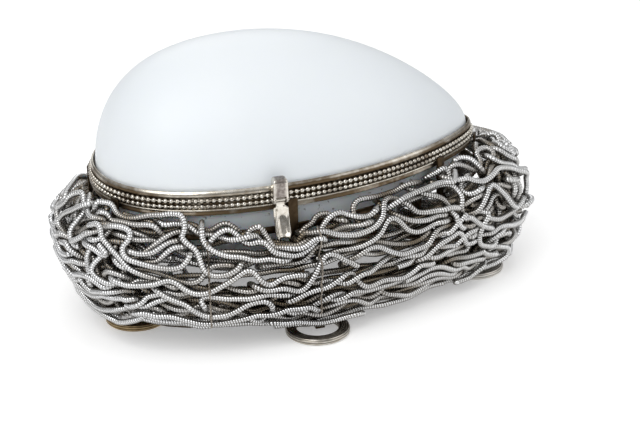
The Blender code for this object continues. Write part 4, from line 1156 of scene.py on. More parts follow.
def bend_by_hand(points, closed):
    """Give a line the curls and waves of a wire that was wound by hand."""
    along, outward, across = frame_along(points, closed)
    at_end, up = endness(points), highness(points)
    wide = (BEND + BEND_UP * up * up + BEND_END * at_end * (0.4 + 0.6 * up)) * MM
    count = len(points)
    from_end = np.minimum(np.arange(count), np.arange(count)[::-1])
    ease = np.ones(count) if closed else np.minimum(1, from_end / EASE_POINTS)
    sideways = ripple(count, closed, *ACROSS_WAVES) * wide
    lengthways = ripple(count, closed, *ALONG_WAVES) * wide * (0.4 + 0.5 * at_end)
    depth = ripple(count, closed, *DEPTH_WAVES) * (DEPTH_BEND + DEPTH_BEND_END * at_end) * MM
    moved = across * sideways[:, None] + along * lengthways[:, None] + outward * depth[:, None]
    moved[:, 2] -= NEST_TILT * points[:, 0] * (1 - up)
    in_front = np.clip((FRONT_START - points[:, 1]) / FRONT_SPAN, 0, 1)
    moved -= outward * (in_front * (FRONT_PULL + FRONT_PULL_UP * up) * MM)[:, None]
    return round_off(points + moved * ease[:, None], True)


def add_strand(name, points, closed=False, node=None):
    """Take a line into the nest as a wire."""
    strands.append({"name": name, "points": points, "closed": closed, "node": node})


for node, (knots, closed) in tubes.items():
    add_strand(node.replace("nest", "wound"), bend_by_hand(even_line(knots, closed), closed), closed, node)
print(len(strands), "wires of", [len(s["points"]) for s in strands], "points")

# %% [markdown]
# ## The nest, 2: more wires
#
# A real nest has more turns than a model of solid pieces needs, and they wander. Each wire here is drawn as a
# walk over the nest's own surface, in steps of two millimetres. At each step it turns by a smooth random
# amount: a little low down along the sides, more at the top, and so much at the two ends that the wire bends
# back on itself in curls, as a maker's hand leaves it. The walks run on the nest's wall, on its upper side,
# or close to the bowl right below the mount.

# %% The nest, 2: the surfaces to walk on
TOP_SIDE, TOP_END, TOP_ANGLE = -8.5 * MM, -2 * MM, math.radians(75)
NEST_ROUND, NEST_UNDER = 12 * MM, 22 * MM
WALL_LENGTH = 90 * MM
CROWN_SIDE, CROWN_END, CROWN_FALL = -7.5 * MM, -2 * MM, 7 * MM
CROWN_START, CROWN_LEAST = 6 * MM, 5.5 * MM
BOWL_OUT, BOWL_TOP = 6 * MM, 7 * MM


def nest_point(turn, share, layer):
    """Place in the nest: share 0 at its top edge to 1 under the bowl, layer inwards from its outside."""
    c = np.cos(turn)
    reach = room(c)
    top = TOP_SIDE + (TOP_END - TOP_SIDE) * c ** 4
    low = WIRE_FLOOR - SEAM
    radius = (top - low) / (1 + math.sin(TOP_ANGLE))
    wall = 1 - NEST_UNDER / (NEST_UNDER + math.pi * radius)
    angle = TOP_ANGLE - (TOP_ANGLE + math.pi / 2) * np.minimum(share / wall, 1)
    under = np.maximum(share / wall - 1, 0) * wall / (1 - wall)
    out = reach - NEST_ROUND + (NEST_ROUND - layer) * np.cos(angle)
    level = low + radius + (radius - layer) * np.sin(angle)
    x, y = outline(turn, out)
    shrink = 1 - under * NEST_UNDER / HALF_WIDTH
    return np.column_stack([EGG_X + (x - EGG_X) * shrink, y * shrink, SEAM + level])


def crown_point(turn, down, layer):
    """Place on the nest's upper side, from the mount outwards."""
    c = np.cos(turn)
    reach = room(c, 2)
    out = np.clip(CROWN_START + down, CROWN_LEAST, reach)
    x, y = outline(turn, out)
    level = CROWN_SIDE + (CROWN_END - CROWN_SIDE) * c ** 4 - CROWN_FALL * (out / reach) ** 2 - layer
    return np.column_stack([x, y, SEAM + level])


def wall_point(turn, down, layer):
    """Place on the nest's wall, from its top edge downwards."""
    return nest_point(turn, down / WALL_LENGTH, layer)


def bowl_point(turn, down, layer):
    """Place close to the bowl, from right below the mount downwards."""
    x, y = outline(turn, BOWL_OUT + layer)
    return np.column_stack([x, y, SEAM - BOWL_TOP - down + 0 * x])


print("the wall's top edge lies", -TOP_SIDE / MM, "mm under the seam at the sides")

# %% The nest, 2: walks
WALK_WAVES, CURL_WAVES, LAYER_WAVES = (26 * MM, 50 * MM), (38 * MM, 80 * MM), (40 * MM, 90 * MM)
LAYER_WANDER = 1.8 * MM
CURL_SIDE, CURL_UP, CURL_END = 0.14, 0.42, 1.5
STAY_HOME, HOME_BAND = 0.8, 9 * MM
TURN_STEP = 0.01


def walk(place, start, length, down, layer, swing, sign=1):
    """Knots of a wire that wanders over a surface from a turn in degrees."""
    count = round(length / POINT_STEP)
    waves, curls = ripple(count, False, *WALK_WAVES), ripple(count, False, *CURL_WAVES, 5)
    depths = layer + LAYER_WANDER * ripple(count, False, *LAYER_WAVES)
    turn, home, knots = math.radians(start), down, []
    for k in range(count):
        at_end = min(max((math.cos(turn) ** 2 - 0.2) / 0.45, 0), 1)
        high = max(1 - down / (0.8 * WALL_LENGTH), 0)
        curl = CURL_END * at_end * (0.5 + 0.5 * high) * curls[k]
        heading = swing * ((CURL_SIDE + CURL_UP * high ** 2) * waves[k] + curl)
        heading -= STAY_HOME * math.tanh((down - home) / HOME_BAND)
        here = place(np.array([turn, turn + TURN_STEP]), down, max(depths[k], min(layer, 0)))
        knots.append(here[0])
        turn += sign * TURN_STEP * math.cos(heading) * POINT_STEP / np.linalg.norm(here[1] - here[0])
        down += math.sin(heading) * POINT_STEP
    knots = np.array(knots)
    knots[:, 2] -= NEST_TILT * knots[:, 0] * (1 - highness(knots))
    return knots


# Each row: surface, middle turn and spread in degrees, band downwards, layers and lengths in millimetres,
# number of wires, and how much they swing.
WALKS = (
    (wall_point, 180, 40, 2, 56, (4, 12), (90, 170), 9, 1.1),
    (wall_point, 0, 46, 2, 56, (4, 12), (90, 170), 9, 1.1),
    (wall_point, 325, 25, 30, 58, (0, 3), (90, 160), 4, 1.1),
    (crown_point, 160, 30, 1, 13, (2, 6), (80, 150), 4, 1.1),
    (crown_point, 20, 30, 1, 14, (2, 6), (70, 120), 4, 1.1),
    (wall_point, 262, 42, 30, 62, (1, 12), (90, 150), 6, 0.9),
    (crown_point, 90, 45, 2, 12, (0, 4), (80, 150), 4, 1.2),
    (wall_point, 90, 45, 2, 50, (0, 8), (90, 160), 7, 1.2),
    (bowl_point, 100, 40, 1, 13, (0, 2), (80, 150), 3, 1.5),
)
MIDDLE_RADIUS = 70 * MM
number = 0
for place, middle, spread, low, high, layers, lengths, count, swing in WALKS:
    for k in range(count):
        number += 1
        length = rng.uniform(*lengths) * MM
        sign = 1 if k % 2 else -1
        start = middle + rng.uniform(-spread, spread) - sign * math.degrees(length / 2 / MIDDLE_RADIUS)
        down = (low + (high - low) * (k + rng.uniform(0.2, 0.8)) / count) * MM
        line = walk(place, start, length, down, rng.uniform(*layers) * MM, swing, sign)
        add_strand(f"curled_wire_{number:02d}", round_off(even_line(line, False), True))
print(number, "more wires")

# %% [markdown]
# At the front, on both sides of the clasp, the nest is open, and the bowl shows through it. A wire that
# wandered there would hide it, so a random wire with a third of its length before the bowl is taken out.

# %% The nest, 2: the open front
FRONT_EDGE, FRONT_HALF, FRONT_FOOT = -20 * MM, 62 * MM, 30 * MM
MOST_OVER_BOWL = 0.3


def over_bowl(points):
    """Share of a line that runs over the upper front of the bowl, which the nest leaves open."""
    inside = (points[:, 1] < FRONT_EDGE) & (np.abs(points[:, 0] - EGG_X) < FRONT_HALF)
    return np.mean(inside & (points[:, 2] > FRONT_FOOT))


made = len(strands)
strands = [s for s in strands if s["node"] or over_bowl(s["points"]) < MOST_OVER_BOWL]
print(made - len(strands), "wires taken from the open front")

# %% [markdown]
# ## The nest, 3: the wires that the eye follows
#
# The wires on the front of the nest are what one remembers of the piece: the long S under the clasp, the loop
# at the blunt end, the strands that wave over the bowl. Their paths were drawn over the picture, each as a
# few places along the wire. A place in a picture is only a line of sight. So it is carried to where that line
# meets the outside of the nest, or the bowl where the nest is open, a chosen depth further in, and from place
# to place the wire takes the nearest such spot.

# %% The nest, 3: the sheets that a wire may lie on
FRAME_HEIGHT = 427
SIGHT_STEP = 0.5
DEEPEST_LAYER = 4


def to_picture(points):
    """Pixel place of each point, and how far in front of the lens it is."""
    view = np.array(camera.matrix_world.inverted())
    seen = points @ view[:3, :3].T + view[:3, 3]
    away = -seen[:, 2]
    across = FRAME_WIDTH / 2 + FOCAL_PIXELS * seen[:, 0] / away
    down = FRAME_HEIGHT / 2 - FOCAL_PIXELS * seen[:, 1] / away
    return np.column_stack([across, down]), away


def from_picture(pixels, away):
    """Point at each pixel place, at its distance in front of the lens."""
    place = np.array(camera.matrix_world)
    x = (pixels[:, 0] - FRAME_WIDTH / 2) * away / FOCAL_PIXELS
    y = (FRAME_HEIGHT / 2 - pixels[:, 1]) * away / FOCAL_PIXELS
    return np.column_stack([x, y, -away]) @ place[:3, :3].T + place[:3, 3]


def nest_sheet(layer):
    """Points all over the outside of the nest, a layer in, and over the bowl where the front is open."""
    turns = np.radians(np.arange(0, 360, SIGHT_STEP))
    sheets = [nest_point(turns, np.full(len(turns), share), layer) for share in np.linspace(0, 0.9, 150)]
    sheets += [crown_point(turns, np.full(len(turns), down), layer) for down in np.linspace(0, 22 * MM, 45)]
    front = np.radians(np.arange(182, 364, SIGHT_STEP))
    for level in np.arange(-2 * MM, -34 * MM, -0.7 * MM):
        x, y = outline(front, 6.2 * MM - 0.2 * layer)
        sheets.append(np.column_stack([x, y, np.full(len(front), SEAM + level)]))
    return round_off(np.vstack(sheets))


sheets = {}
for layer in range(DEEPEST_LAYER + 1):
    sheet = nest_sheet(layer * MM)
    sheets[layer] = (sheet, *to_picture(sheet))
print("points to look for:", sum(len(sheet[0]) for sheet in sheets.values()))

# %% The nest, 3: from a line of sight to the nest
NEAR_PIXELS, MISSED_PIXELS = 1.2, 1.5
STAY_NEAR = 1.5
SOFTEN_ROUNDS = 5
END_PIXELS, END_DIVE = 5, 5.5 * MM


def carry(pixels, points, seen, away):
    """Knots of a wire whose places in the picture are given, on a sheet of points."""
    spots = []
    for place in pixels:
        off = np.hypot(*(seen - place).T)
        near = np.flatnonzero(off < max(NEAR_PIXELS, off.min() + NEAR_PIXELS / 2))
        price = away[near]
        if spots:
            price = price + STAY_NEAR * np.linalg.norm(points[near] - points[spots[-1]], axis=1)
        spots.append(near[np.argmin(price)])
    missed = np.hypot(*(pixels - seen[spots]).T) > MISSED_PIXELS
    pixels = np.where(missed[:, None], (pixels + seen[spots]) / 2, pixels)
    depth = away[spots]
    for _ in range(SOFTEN_ROUNDS):
        padded = np.concatenate([depth[:1], depth, depth[-1:]])
        depth = (padded[:-2] + 2 * padded[1:-1] + padded[2:]) / 4
    ends = []
    for end, inner in ((0, 1), (-1, -2)):
        run = pixels[end] - pixels[inner]
        ends.append(pixels[end] + run / np.hypot(*run) * END_PIXELS)
    pixels = np.vstack([ends[0], pixels, ends[1]])
    depth = np.concatenate([[depth[0] + END_DIVE], depth, [depth[-1] + END_DIVE]])
    return from_picture(pixels, depth)


print("a wire's ends dive", END_DIVE / MM, "mm into the nest")

# %% The nest, 3: the wires that the eye follows
# Each row: how many millimetres in the wire lies, then its places across and down in the 640 x 427 picture.
DRAWN = (
    (1, 96, 208, 99, 203, 106, 201, 112, 205, 119, 213, 129, 218, 145, 219, 160, 216, 171, 213, 179, 214,
     184, 221, 185, 230, 182, 239, 186, 246, 194, 251, 199, 259, 203, 268, 209, 274, 218, 276, 228, 274,
     236, 268, 242, 261),
    (4, 130, 222, 137, 227, 148, 229, 165, 229, 183, 227, 193, 227, 203, 229, 213, 229, 220, 225, 227, 224,
     234, 229, 240, 235),
    (1, 208, 243, 213, 238, 220, 233, 228, 231, 236, 235, 246, 239, 258, 240, 266, 243, 273, 249, 282, 254,
     292, 256, 302, 253, 309, 248, 316, 241, 321, 232, 325, 223, 331, 216, 340, 213, 349, 216, 359, 219,
     368, 217, 376, 211),
    (0, 246, 236, 251, 231, 257, 228, 264, 227, 270, 231, 273, 238, 279, 245, 288, 249, 298, 249, 307, 245,
     314, 240, 321, 237),
    (1, 202, 232, 204, 239, 209, 246, 216, 252, 226, 256, 238, 259, 250, 261, 262, 260, 274, 257, 285, 256),
    (4, 262, 266, 275, 264, 287, 261, 297, 262, 304, 258, 309, 252, 315, 245, 322, 242, 335, 242, 350, 242,
     365, 241, 380, 242, 395, 244, 410, 243, 420, 239, 428, 233),
    (3, 130, 262, 140, 256, 150, 249, 160, 242, 170, 235, 180, 230, 190, 228),
    (4, 128, 253, 135, 254, 143, 254, 152, 252, 160, 246, 168, 242, 178, 241),
    (3, 120, 252, 125, 258, 134, 262, 146, 262, 156, 262, 164, 256, 171, 250, 178, 246, 186, 245),
    (2, 118, 258, 128, 264, 140, 270, 152, 273, 165, 277, 178, 282, 190, 284, 199, 281, 206, 273, 213, 267,
     223, 266, 234, 268),
    (0, 115, 281, 125, 284, 135, 285, 145, 285, 155, 283, 167, 281, 177, 284, 186, 290, 196, 294, 208, 293,
     219, 288, 229, 282, 238, 275, 246, 271, 253, 272, 259, 279, 265, 286, 271, 287, 279, 281, 290, 277,
     302, 276),
    (0, 255, 288, 268, 290, 282, 290, 294, 292, 303, 290, 309, 283, 315, 274, 320, 265, 324, 257, 330, 254,
     338, 256, 346, 261, 352, 263),
    (2, 318, 258, 330, 254, 341, 251, 353, 248, 364, 244, 374, 239, 381, 233, 385, 225, 390, 219, 396, 219,
     402, 224, 408, 230, 417, 232, 426, 229, 434, 224, 444, 221),
    (1, 345, 264, 355, 259, 363, 252, 371, 247, 380, 247, 389, 251, 400, 254, 411, 253, 421, 250, 428, 246,
     431, 238, 435, 231, 443, 227, 456, 226, 468, 225, 478, 221, 488, 219, 499, 219, 509, 213, 517, 204,
     523, 198, 528, 202),
    (1, 300, 238, 312, 235, 325, 234, 340, 235, 354, 235, 365, 232, 374, 226, 381, 217, 382, 208, 386, 201,
     394, 199, 403, 201, 410, 206, 417, 212, 428, 213, 440, 212, 452, 210),
    (2, 362, 224, 356, 219, 353, 212, 354, 205, 359, 200, 369, 198, 381, 196, 393, 192, 404, 187, 414, 184),
    (3, 320, 240, 332, 233, 340, 228, 349, 225, 360, 224, 371, 222),
    (2, 299, 230, 305, 228, 312, 223, 316, 217, 323, 214, 331, 215, 336, 220, 345, 221),
    (3, 380, 206, 388, 211, 396, 215, 405, 219, 416, 221, 427, 219, 436, 214, 446, 213),
    (0, 405, 186, 415, 190, 425, 194, 434, 196, 442, 199, 448, 206, 453, 213, 458, 219, 464, 223),
    (2, 400, 205, 411, 200, 421, 195, 430, 189, 440, 184, 449, 183, 456, 189, 461, 197, 460, 206, 463, 214,
     469, 221),
    (1, 430, 183, 440, 180, 447, 175, 450, 167, 457, 164, 466, 167, 474, 170, 481, 168, 480, 160, 476, 153,
     482, 149, 490, 149, 495, 155, 491, 163, 487, 171),
    (0, 444, 178, 455, 176, 466, 178, 475, 181, 484, 181, 490, 176, 494, 170, 503, 168, 514, 168, 522, 170,
     527, 176, 530, 185, 527, 192),
    (1, 470, 220, 476, 213, 481, 205, 483, 196, 486, 188, 491, 184, 498, 188, 505, 195, 511, 203),
    (3, 468, 232, 476, 222, 484, 213, 489, 204, 492, 197, 498, 194, 505, 199, 511, 206, 514, 214),
    (0, 418, 259, 430, 253, 441, 245, 450, 237, 458, 231, 466, 232, 472, 239, 479, 238, 487, 232, 498, 228,
     511, 225, 521, 222, 526, 217),
    (0, 452, 262, 464, 262, 476, 260, 487, 254, 497, 248, 506, 247, 511, 252, 509, 260, 500, 264, 489, 268,
     478, 275, 466, 281),
    (0, 480, 268, 472, 275, 465, 283, 459, 291, 454, 291, 453, 285),
    (0, 64, 200, 67, 191, 73, 183, 80, 177, 87, 178, 91, 182),
    (1, 63, 201, 70, 196, 78, 193, 85, 194, 86, 203, 84, 212, 78, 220, 72, 228, 70, 237, 74, 245, 80, 247),
    (1, 90, 207, 80, 208, 70, 211, 61, 215, 56, 222, 58, 230, 64, 235, 72, 238),
    (0, 76, 240, 85, 236, 94, 230, 104, 227, 115, 226, 125, 228, 131, 233, 129, 241, 124, 248, 127, 256,
     135, 261, 147, 265, 160, 268, 172, 269, 181, 267, 187, 261, 191, 254),
    (1, 94, 231, 103, 240, 112, 250, 121, 259, 131, 267, 143, 273, 156, 278, 166, 283, 175, 288),
    (1, 116, 248, 110, 252, 102, 256, 95, 263, 92, 271, 96, 278, 104, 281, 113, 280, 121, 274, 127, 266),
    (0, 62, 216, 54, 226, 49, 238, 49, 247, 57, 254, 68, 257, 79, 261, 88, 265),
    (0, 52, 252, 57, 262, 66, 274, 75, 285, 86, 292, 98, 294, 110, 294, 120, 296, 128, 301, 138, 303),
    (2, 66, 250, 72, 262, 78, 273, 83, 283, 92, 289, 105, 291, 120, 291, 135, 290),
    (0, 80, 293, 87, 301, 96, 308, 105, 315, 114, 321, 125, 322, 135, 319, 144, 314, 155, 313),
    (1, 82, 288, 72, 286, 68, 289, 78, 295, 89, 301, 98, 308, 110, 310, 125, 308, 142, 307, 160, 309),
    (2, 101, 236, 94, 241, 89, 250, 88, 262, 89, 274, 91, 284),
    (3, 108, 203, 105, 211, 102, 219, 102, 226),
    (2, 88, 200, 88, 208, 92, 215, 99, 219, 104, 222),
    (2, 134, 305, 143, 301, 149, 295, 160, 292, 174, 291, 188, 291),
    (1, 203, 309, 201, 302, 205, 296, 216, 296, 230, 298, 246, 298, 260, 295, 274, 292, 288, 294),
    (0, 290, 296, 303, 293, 316, 290, 328, 287, 338, 281, 347, 276, 355, 277, 361, 283, 367, 288, 374, 286,
     381, 281, 392, 279, 404, 278, 415, 272, 428, 264),
    (0, 158, 292, 168, 297, 179, 302, 191, 307, 202, 312, 214, 317, 226, 316, 237, 311, 247, 305, 257, 301,
     266, 301, 271, 308),
    (1, 140, 312, 155, 315, 172, 317, 188, 321, 204, 324, 222, 323, 242, 319, 262, 314, 278, 311, 296, 309,
     312, 308),
    (0, 452, 161, 463, 158, 471, 160, 477, 166, 483, 171),
    (1, 474, 141, 481, 140, 487, 144, 493, 148, 496, 155, 492, 163, 487, 171, 484, 180),
    (2, 489, 160, 495, 165, 504, 166, 514, 166, 521, 169),
    (2, 477, 149, 480, 158, 483, 166, 485, 175),
    (1, 496, 150, 503, 153, 511, 157, 517, 162, 520, 169),
    (0, 486, 136, 493, 135, 499, 139, 499, 145, 494, 149),
    (3, 497, 170, 499, 180, 503, 189, 507, 198),
    (2, 503, 170, 507, 179, 509, 189, 507, 197),
    (1, 511, 171, 516, 181, 519, 191, 518, 199),
    (2, 480, 196, 471, 200, 463, 205, 455, 206),
    (1, 500, 148, 506, 150, 511, 153, 509, 148, 503, 144),
    (3, 466, 178, 460, 185, 463, 192, 472, 194, 480, 190),
    (0, 270, 322, 284, 323, 298, 322, 310, 323, 322, 325, 334, 323, 346, 319, 358, 316),
    (2, 426, 178, 436, 174, 446, 170, 449, 178, 447, 186),
)
for number, (layer, *places) in enumerate(DRAWN, 1):
    knots = carry(np.array(places, float).reshape(-1, 2), *sheets[layer])
    add_strand(f"drawn_wire_{number:02d}", even_line(knots, False))
print(len(DRAWN), "drawn wires")

# %% [markdown]
# ## The nest, 4: let the wires settle
#
# Bent like this, wires would pass through each other. So the lines push each other apart: every two points
# nearer than a wire's thickness move away from each other, and from the bowl, the mounts and the cage. Each
# move is shared along the wire, because a stiff wire doesn't kink. A few dozen rounds are enough.

# %% The nest, 4: what the wires keep clear of
SAMPLE_STEP, MOST_SAMPLES = 1.6 * MM, 14
CLASP_AXIS = np.array([CLASP_X, CLASP_Y, CLASP_Z])
KEEP_CLEAR = ("strap_", "mid_hoop", "base_hoop", "foot_", "hinge_leaf_base", "hinge_pin")
SWING_DEGREES, SWING_STEP = 60, 6


def samples_of(node):
    """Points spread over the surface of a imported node."""
    coords, corners = triangles_of(node)
    a, b, c = coords[corners].transpose(1, 0, 2)
    longest = np.max([np.linalg.norm(a - b, axis=1), np.linalg.norm(b - c, axis=1),
                      np.linalg.norm(c - a, axis=1)], axis=0)
    steps = np.minimum(np.ceil(longest / SAMPLE_STEP), MOST_SAMPLES).astype(int)
    made = []
    for size in np.unique(steps):
        chosen = steps == size
        for i in range(size + 1):
            for j in range(size + 1 - i):
                u, v = i / size, j / size
                made.append(a[chosen] * (1 - u - v) + b[chosen] * u + c[chosen] * v)
    return np.unique(np.vstack(made).round(5), axis=0)


def tree_of(points):
    """Search tree that finds the points near a place."""
    tree = kdtree.KDTree(len(points))
    for k, p in enumerate(points):
        tree.insert(p, k)
    tree.balance()
    return tree


obstacles = [samples_of(name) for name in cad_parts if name.startswith(KEEP_CLEAR)]
down = np.arange(2, 17, 1.5)[:, None]
for degrees in range(0, SWING_DEGREES + 1, SWING_STEP):
    way = np.array([0, -math.sin(math.radians(degrees)), -math.cos(math.radians(degrees))])
    for across in (-3, 0, 3):
        obstacles.append(CLASP_AXIS + np.array([across * MM, 0, 0]) + way * down * MM)
obstacles = np.vstack(obstacles)
obstacle_tree = tree_of(obstacles)
print(len(obstacles), "points to keep clear of, the hasp's swing among them")

# %% The nest, 4: every point and its neighbours
DRAWN_FREEDOM = 0.35
points = np.vstack([s["points"] for s in strands])
sizes = [len(s["points"]) for s in strands]
strand_of = np.repeat(np.arange(len(strands)), sizes)
first_of = np.concatenate([[0], np.cumsum(sizes)])
size_of = np.diff(first_of)
closed_of = np.array([s["closed"] for s in strands])
drawn = np.array([s["name"].startswith("drawn") for s in strands])[strand_of]
freedom = np.where(drawn, DRAWN_FREEDOM, 1.0)[:, None]
place = np.arange(len(points)) - first_of[strand_of]
ahead = first_of[strand_of] + (place + 1) % size_of[strand_of]
behind = first_of[strand_of] + (place - 1) % size_of[strand_of]
last = ~closed_of[strand_of] & (place == size_of[strand_of] - 1)
first = ~closed_of[strand_of] & (place == 0)
ahead[last] = np.nonzero(last)[0]
behind[first] = np.nonzero(first)[0]


def share_along(moves, rounds):
    """Moves shared with the points before and after on the same wire."""
    for _ in range(rounds):
        moves = (moves[ahead] + 2 * moves + moves[behind]) / 4
    return moves


print(len(points), "points on", len(strands), "wires")

# %% The nest, 4: off the egg, and inside the nest's limits
BOWL_GAP, MOUNT_GAP, MOUNT_LEVEL = 0.8 * MM, 4.8 * MM, 6.8 * MM
SIDE_LIMIT = np.array([105.6, 63.4]) * MM - WIRE_RADIUS
UNDER_SEAM, DRAWN_UNDER_SEAM, UNDER_HASP = 7.0 * MM, 4 * MM, 16.8 * MM
HASP_ROOM, HASP_EASE = 13 * MM, 9 * MM
END_FALL, BACK_FALL = 9.5 * MM, 9 * MM


def out_of_egg(p):
    """Moves that keep points off the bowl and off the mounts."""
    x, y, breadth = egg_shares(p)
    depth = breadth * BOWL_DEPTH / HALF_WIDTH
    z = (p[:, 2] - SEAM) / depth
    steep = np.column_stack([x / EGG_HALF_LENGTH, y / breadth, z / depth])
    size = np.maximum(np.linalg.norm(steep, axis=1), TINY)
    distance = (x * x + y * y + z * z - 1) / (2 * size)
    need = np.maximum(WIRE_RADIUS + BOWL_GAP - distance, 0)
    moves = need[:, None] * steep / size[:, None]
    flat = np.column_stack([x / EGG_HALF_LENGTH, y / breadth, np.zeros(len(p))])
    size = np.maximum(np.linalg.norm(flat, axis=1), TINY)
    out = (x * x + y * y - 1) / (2 * size)
    need = np.where(p[:, 2] > SEAM - MOUNT_LEVEL, np.maximum(MOUNT_GAP - out, 0), 0)
    return moves + need[:, None] * flat / size[:, None]


def ceiling_over(p):
    """Highest level of points: under the mount, under the hasp, and lower at the nest's outer edge."""
    c = np.minimum(np.abs(p[:, 0] - EGG_X) / END_REACH, 1)
    fall = np.clip((off_rim(p) - 5 * MM) / (18 * MM), 0, 1)
    rise = np.where(p[:, 0] > 0, 3 * MM, 4 * MM)
    ceiling = SEAM - UNDER_SEAM + rise * c ** 5 - END_FALL * c ** 3 * fall ** 1.3
    at_blunt = np.clip((-60 * MM - p[:, 0]) / (15 * MM), 0, 1)
    at_back = np.clip(p[:, 1] / (12 * MM), 0, 1)
    ceiling -= BACK_FALL * at_blunt * at_back
    ceiling = np.where(drawn, np.maximum(ceiling, SEAM - DRAWN_UNDER_SEAM + 2 * MM * c), ceiling)
    dip = np.clip((HASP_ROOM - np.abs(p[:, 0] - CLASP_X)) / HASP_EASE, 0, 1)
    dip = np.where(p[:, 1] < 0, dip * dip * (3 - 2 * dip), 0)
    return ceiling - (ceiling - (SEAM - UNDER_HASP)) * dip


def keep_inside(p):
    """Keep points above the feet, under their ceiling and inside the nest's length and breadth."""
    p[:, :2] = np.clip(p[:, :2], -SIDE_LIMIT + (2 * MM, 0), SIDE_LIMIT)
    p = round_off(p)
    low = WIRE_FLOOR + np.where(p[:, 0] < 0, 6 * MM, 1.5 * MM) * np.abs(p[:, 0] / (85 * MM)) ** 1.5
    p[:, 2] = np.clip(p[:, 2], low, ceiling_over(p))
    return p


print("limits of the nest in mm", [round(float(v) / MM, 1) for v in SIDE_LIMIT])

# %% The nest, 4: the rounds
SETTLE_ROUNDS, PAIR_ROUNDS, SHARE_ROUNDS = 48, 6, 3
CLOSEST = 2 * WIRE_RADIUS + 0.05 * MM
PAIR_REACH, CAGE_GAP = 1.5 * MM, 0.4 * MM
OVERSHOOT, STRAIGHTEN = 1.5, 0.02


def near_pairs():
    """Pairs of points that are near each other, but not neighbours on the same wire."""
    tree = tree_of(points)
    pairs = [(k, other) for k, p in enumerate(points)
             for _, other, _ in tree.find_range(p, CLOSEST + PAIR_REACH) if other > k]
    a, b = np.array(pairs).T
    gap = np.abs(place[a] - place[b])
    gap = np.minimum(gap, size_of[strand_of[a]] - gap)
    keep = (strand_of[a] != strand_of[b]) | (gap > 3)
    return a[keep], b[keep]


for step in range(SETTLE_ROUNDS):
    if step % PAIR_ROUNDS == 0:
        a, b = near_pairs()
        nearest = np.array([tuple(obstacle_tree.find(p)[0]) for p in points])
    moves = np.zeros_like(points)
    between = points[a] - points[b]
    distance = np.maximum(np.linalg.norm(between, axis=1), HAIR)
    push = between / distance[:, None] * (np.maximum(CLOSEST - distance, 0) / 2)[:, None]
    np.add.at(moves, a, push)
    np.add.at(moves, b, -push)
    between = points - nearest
    distance = np.maximum(np.linalg.norm(between, axis=1), HAIR)
    moves += between / distance[:, None] * np.maximum(WIRE_RADIUS + CAGE_GAP - distance, 0)[:, None]
    moves += out_of_egg(points)
    size = np.linalg.norm(moves, axis=1)
    moves *= np.minimum(1, WIRE_RADIUS / np.maximum(size, TINY))[:, None]
    points = points + share_along(moves, SHARE_ROUNDS) * OVERSHOOT * freedom
    bent = (points[ahead] + points[behind]) / 2 - points
    points += np.where((first | last | drawn)[:, None], 0, bent) * STRAIGHTEN
    points = keep_inside(points)
distance = np.linalg.norm(points[a] - points[b], axis=1)
print(len(a), "pairs; share of pairs that still overlap by 0.5 mm:",
      round(float((distance < CLOSEST - 0.5 * MM).mean()), 3))

# %% [markdown]
# ## The nest, 5: winding
#
# What makes gimp gimp is the fine round wire wound round its core, turn against turn. Geometry Nodes make it
# from the settled lines. The line is resampled to four points for each turn of the winding and swept with an
# eight-sided ring. Then each point is pulled in by the depth of the groove there. The groove is a helix,
# because its phase runs with the length along the wire and with the angle round it. The depth is kept as the
# attribute `groove`, where the finish paints shade.

# %% The nest, 5: the winding tree
WINDING_PITCH = 1.05 * MM
POINTS_A_TURN, WIRE_SIDES = 4.0, 8
GROOVE_SHARE = 0.28
gimp, given, result = new_tree("wound_wire", "Radius", "Pitch")


def calc(operation, first, second=0.0):
    return add_node(gimp, "ShaderNodeMath", {0: first, 1: second}, operation=operation).outputs["Value"]


def keep_number(geometry, name, value):
    """Geometry that keeps a number at each of its points."""
    inputs = {"Geometry": geometry, "Name": name, "Value": value}
    return add_node(gimp, "GeometryNodeStoreNamedAttribute", inputs, data_type="FLOAT",
                    domain="POINT").outputs["Geometry"]


def kept_number(name):
    return add_node(gimp, "GeometryNodeInputNamedAttribute", {"Name": name},
                    data_type="FLOAT").outputs["Attribute"]


pitch, radius = given.outputs["Pitch"], given.outputs["Radius"]
line = add_node(gimp, "GeometryNodeMeshToCurve", {"Mesh": given.outputs["Geometry"]})
even = add_node(gimp, "GeometryNodeResampleCurve", {
    "Curve": line.outputs["Curve"], "Length": calc("DIVIDE", pitch, POINTS_A_TURN)}, mode="LENGTH")
ring = add_node(gimp, "GeometryNodeCurvePrimitiveCircle", {"Resolution": WIRE_SIDES, "Radius": radius})
spline = add_node(gimp, "GeometryNodeSplineParameter")
tube = add_node(gimp, "GeometryNodeCurveToMesh", {
    "Curve": keep_number(even.outputs["Curve"], "along", spline.outputs["Length"]),
    "Profile Curve": keep_number(ring.outputs["Curve"], "angle", spline.outputs["Factor"]),
    "Fill Caps": True})
turns = calc("DIVIDE", kept_number("along"), pitch)
phase = calc("MULTIPLY", calc("SUBTRACT", turns, kept_number("angle")), FULL_TURN)
groove_depth = calc("ADD", calc("MULTIPLY", calc("COSINE", phase), 0.5), 0.5)
inwards = calc("MULTIPLY", calc("MULTIPLY", groove_depth, pitch), -GROOVE_SHARE)
normal = add_node(gimp, "GeometryNodeInputNormal")
shift = add_node(gimp, "ShaderNodeVectorMath", {"Vector": normal.outputs["Normal"], "Scale": inwards},
                 operation="SCALE")
wound = add_node(gimp, "GeometryNodeSetPosition", {
    "Geometry": tube.outputs["Mesh"], "Offset": shift.outputs["Vector"]})
grooved = keep_number(wound.outputs["Geometry"], "groove", groove_depth)
for name in ("along", "angle"):
    plain = add_node(gimp, "GeometryNodeRemoveAttribute", {"Geometry": grooved, "Name": name})
    grooved = plain.outputs["Geometry"]
close_tree(gimp, grooved, given, result)
print("winding tree of", len(gimp.nodes), "nodes")

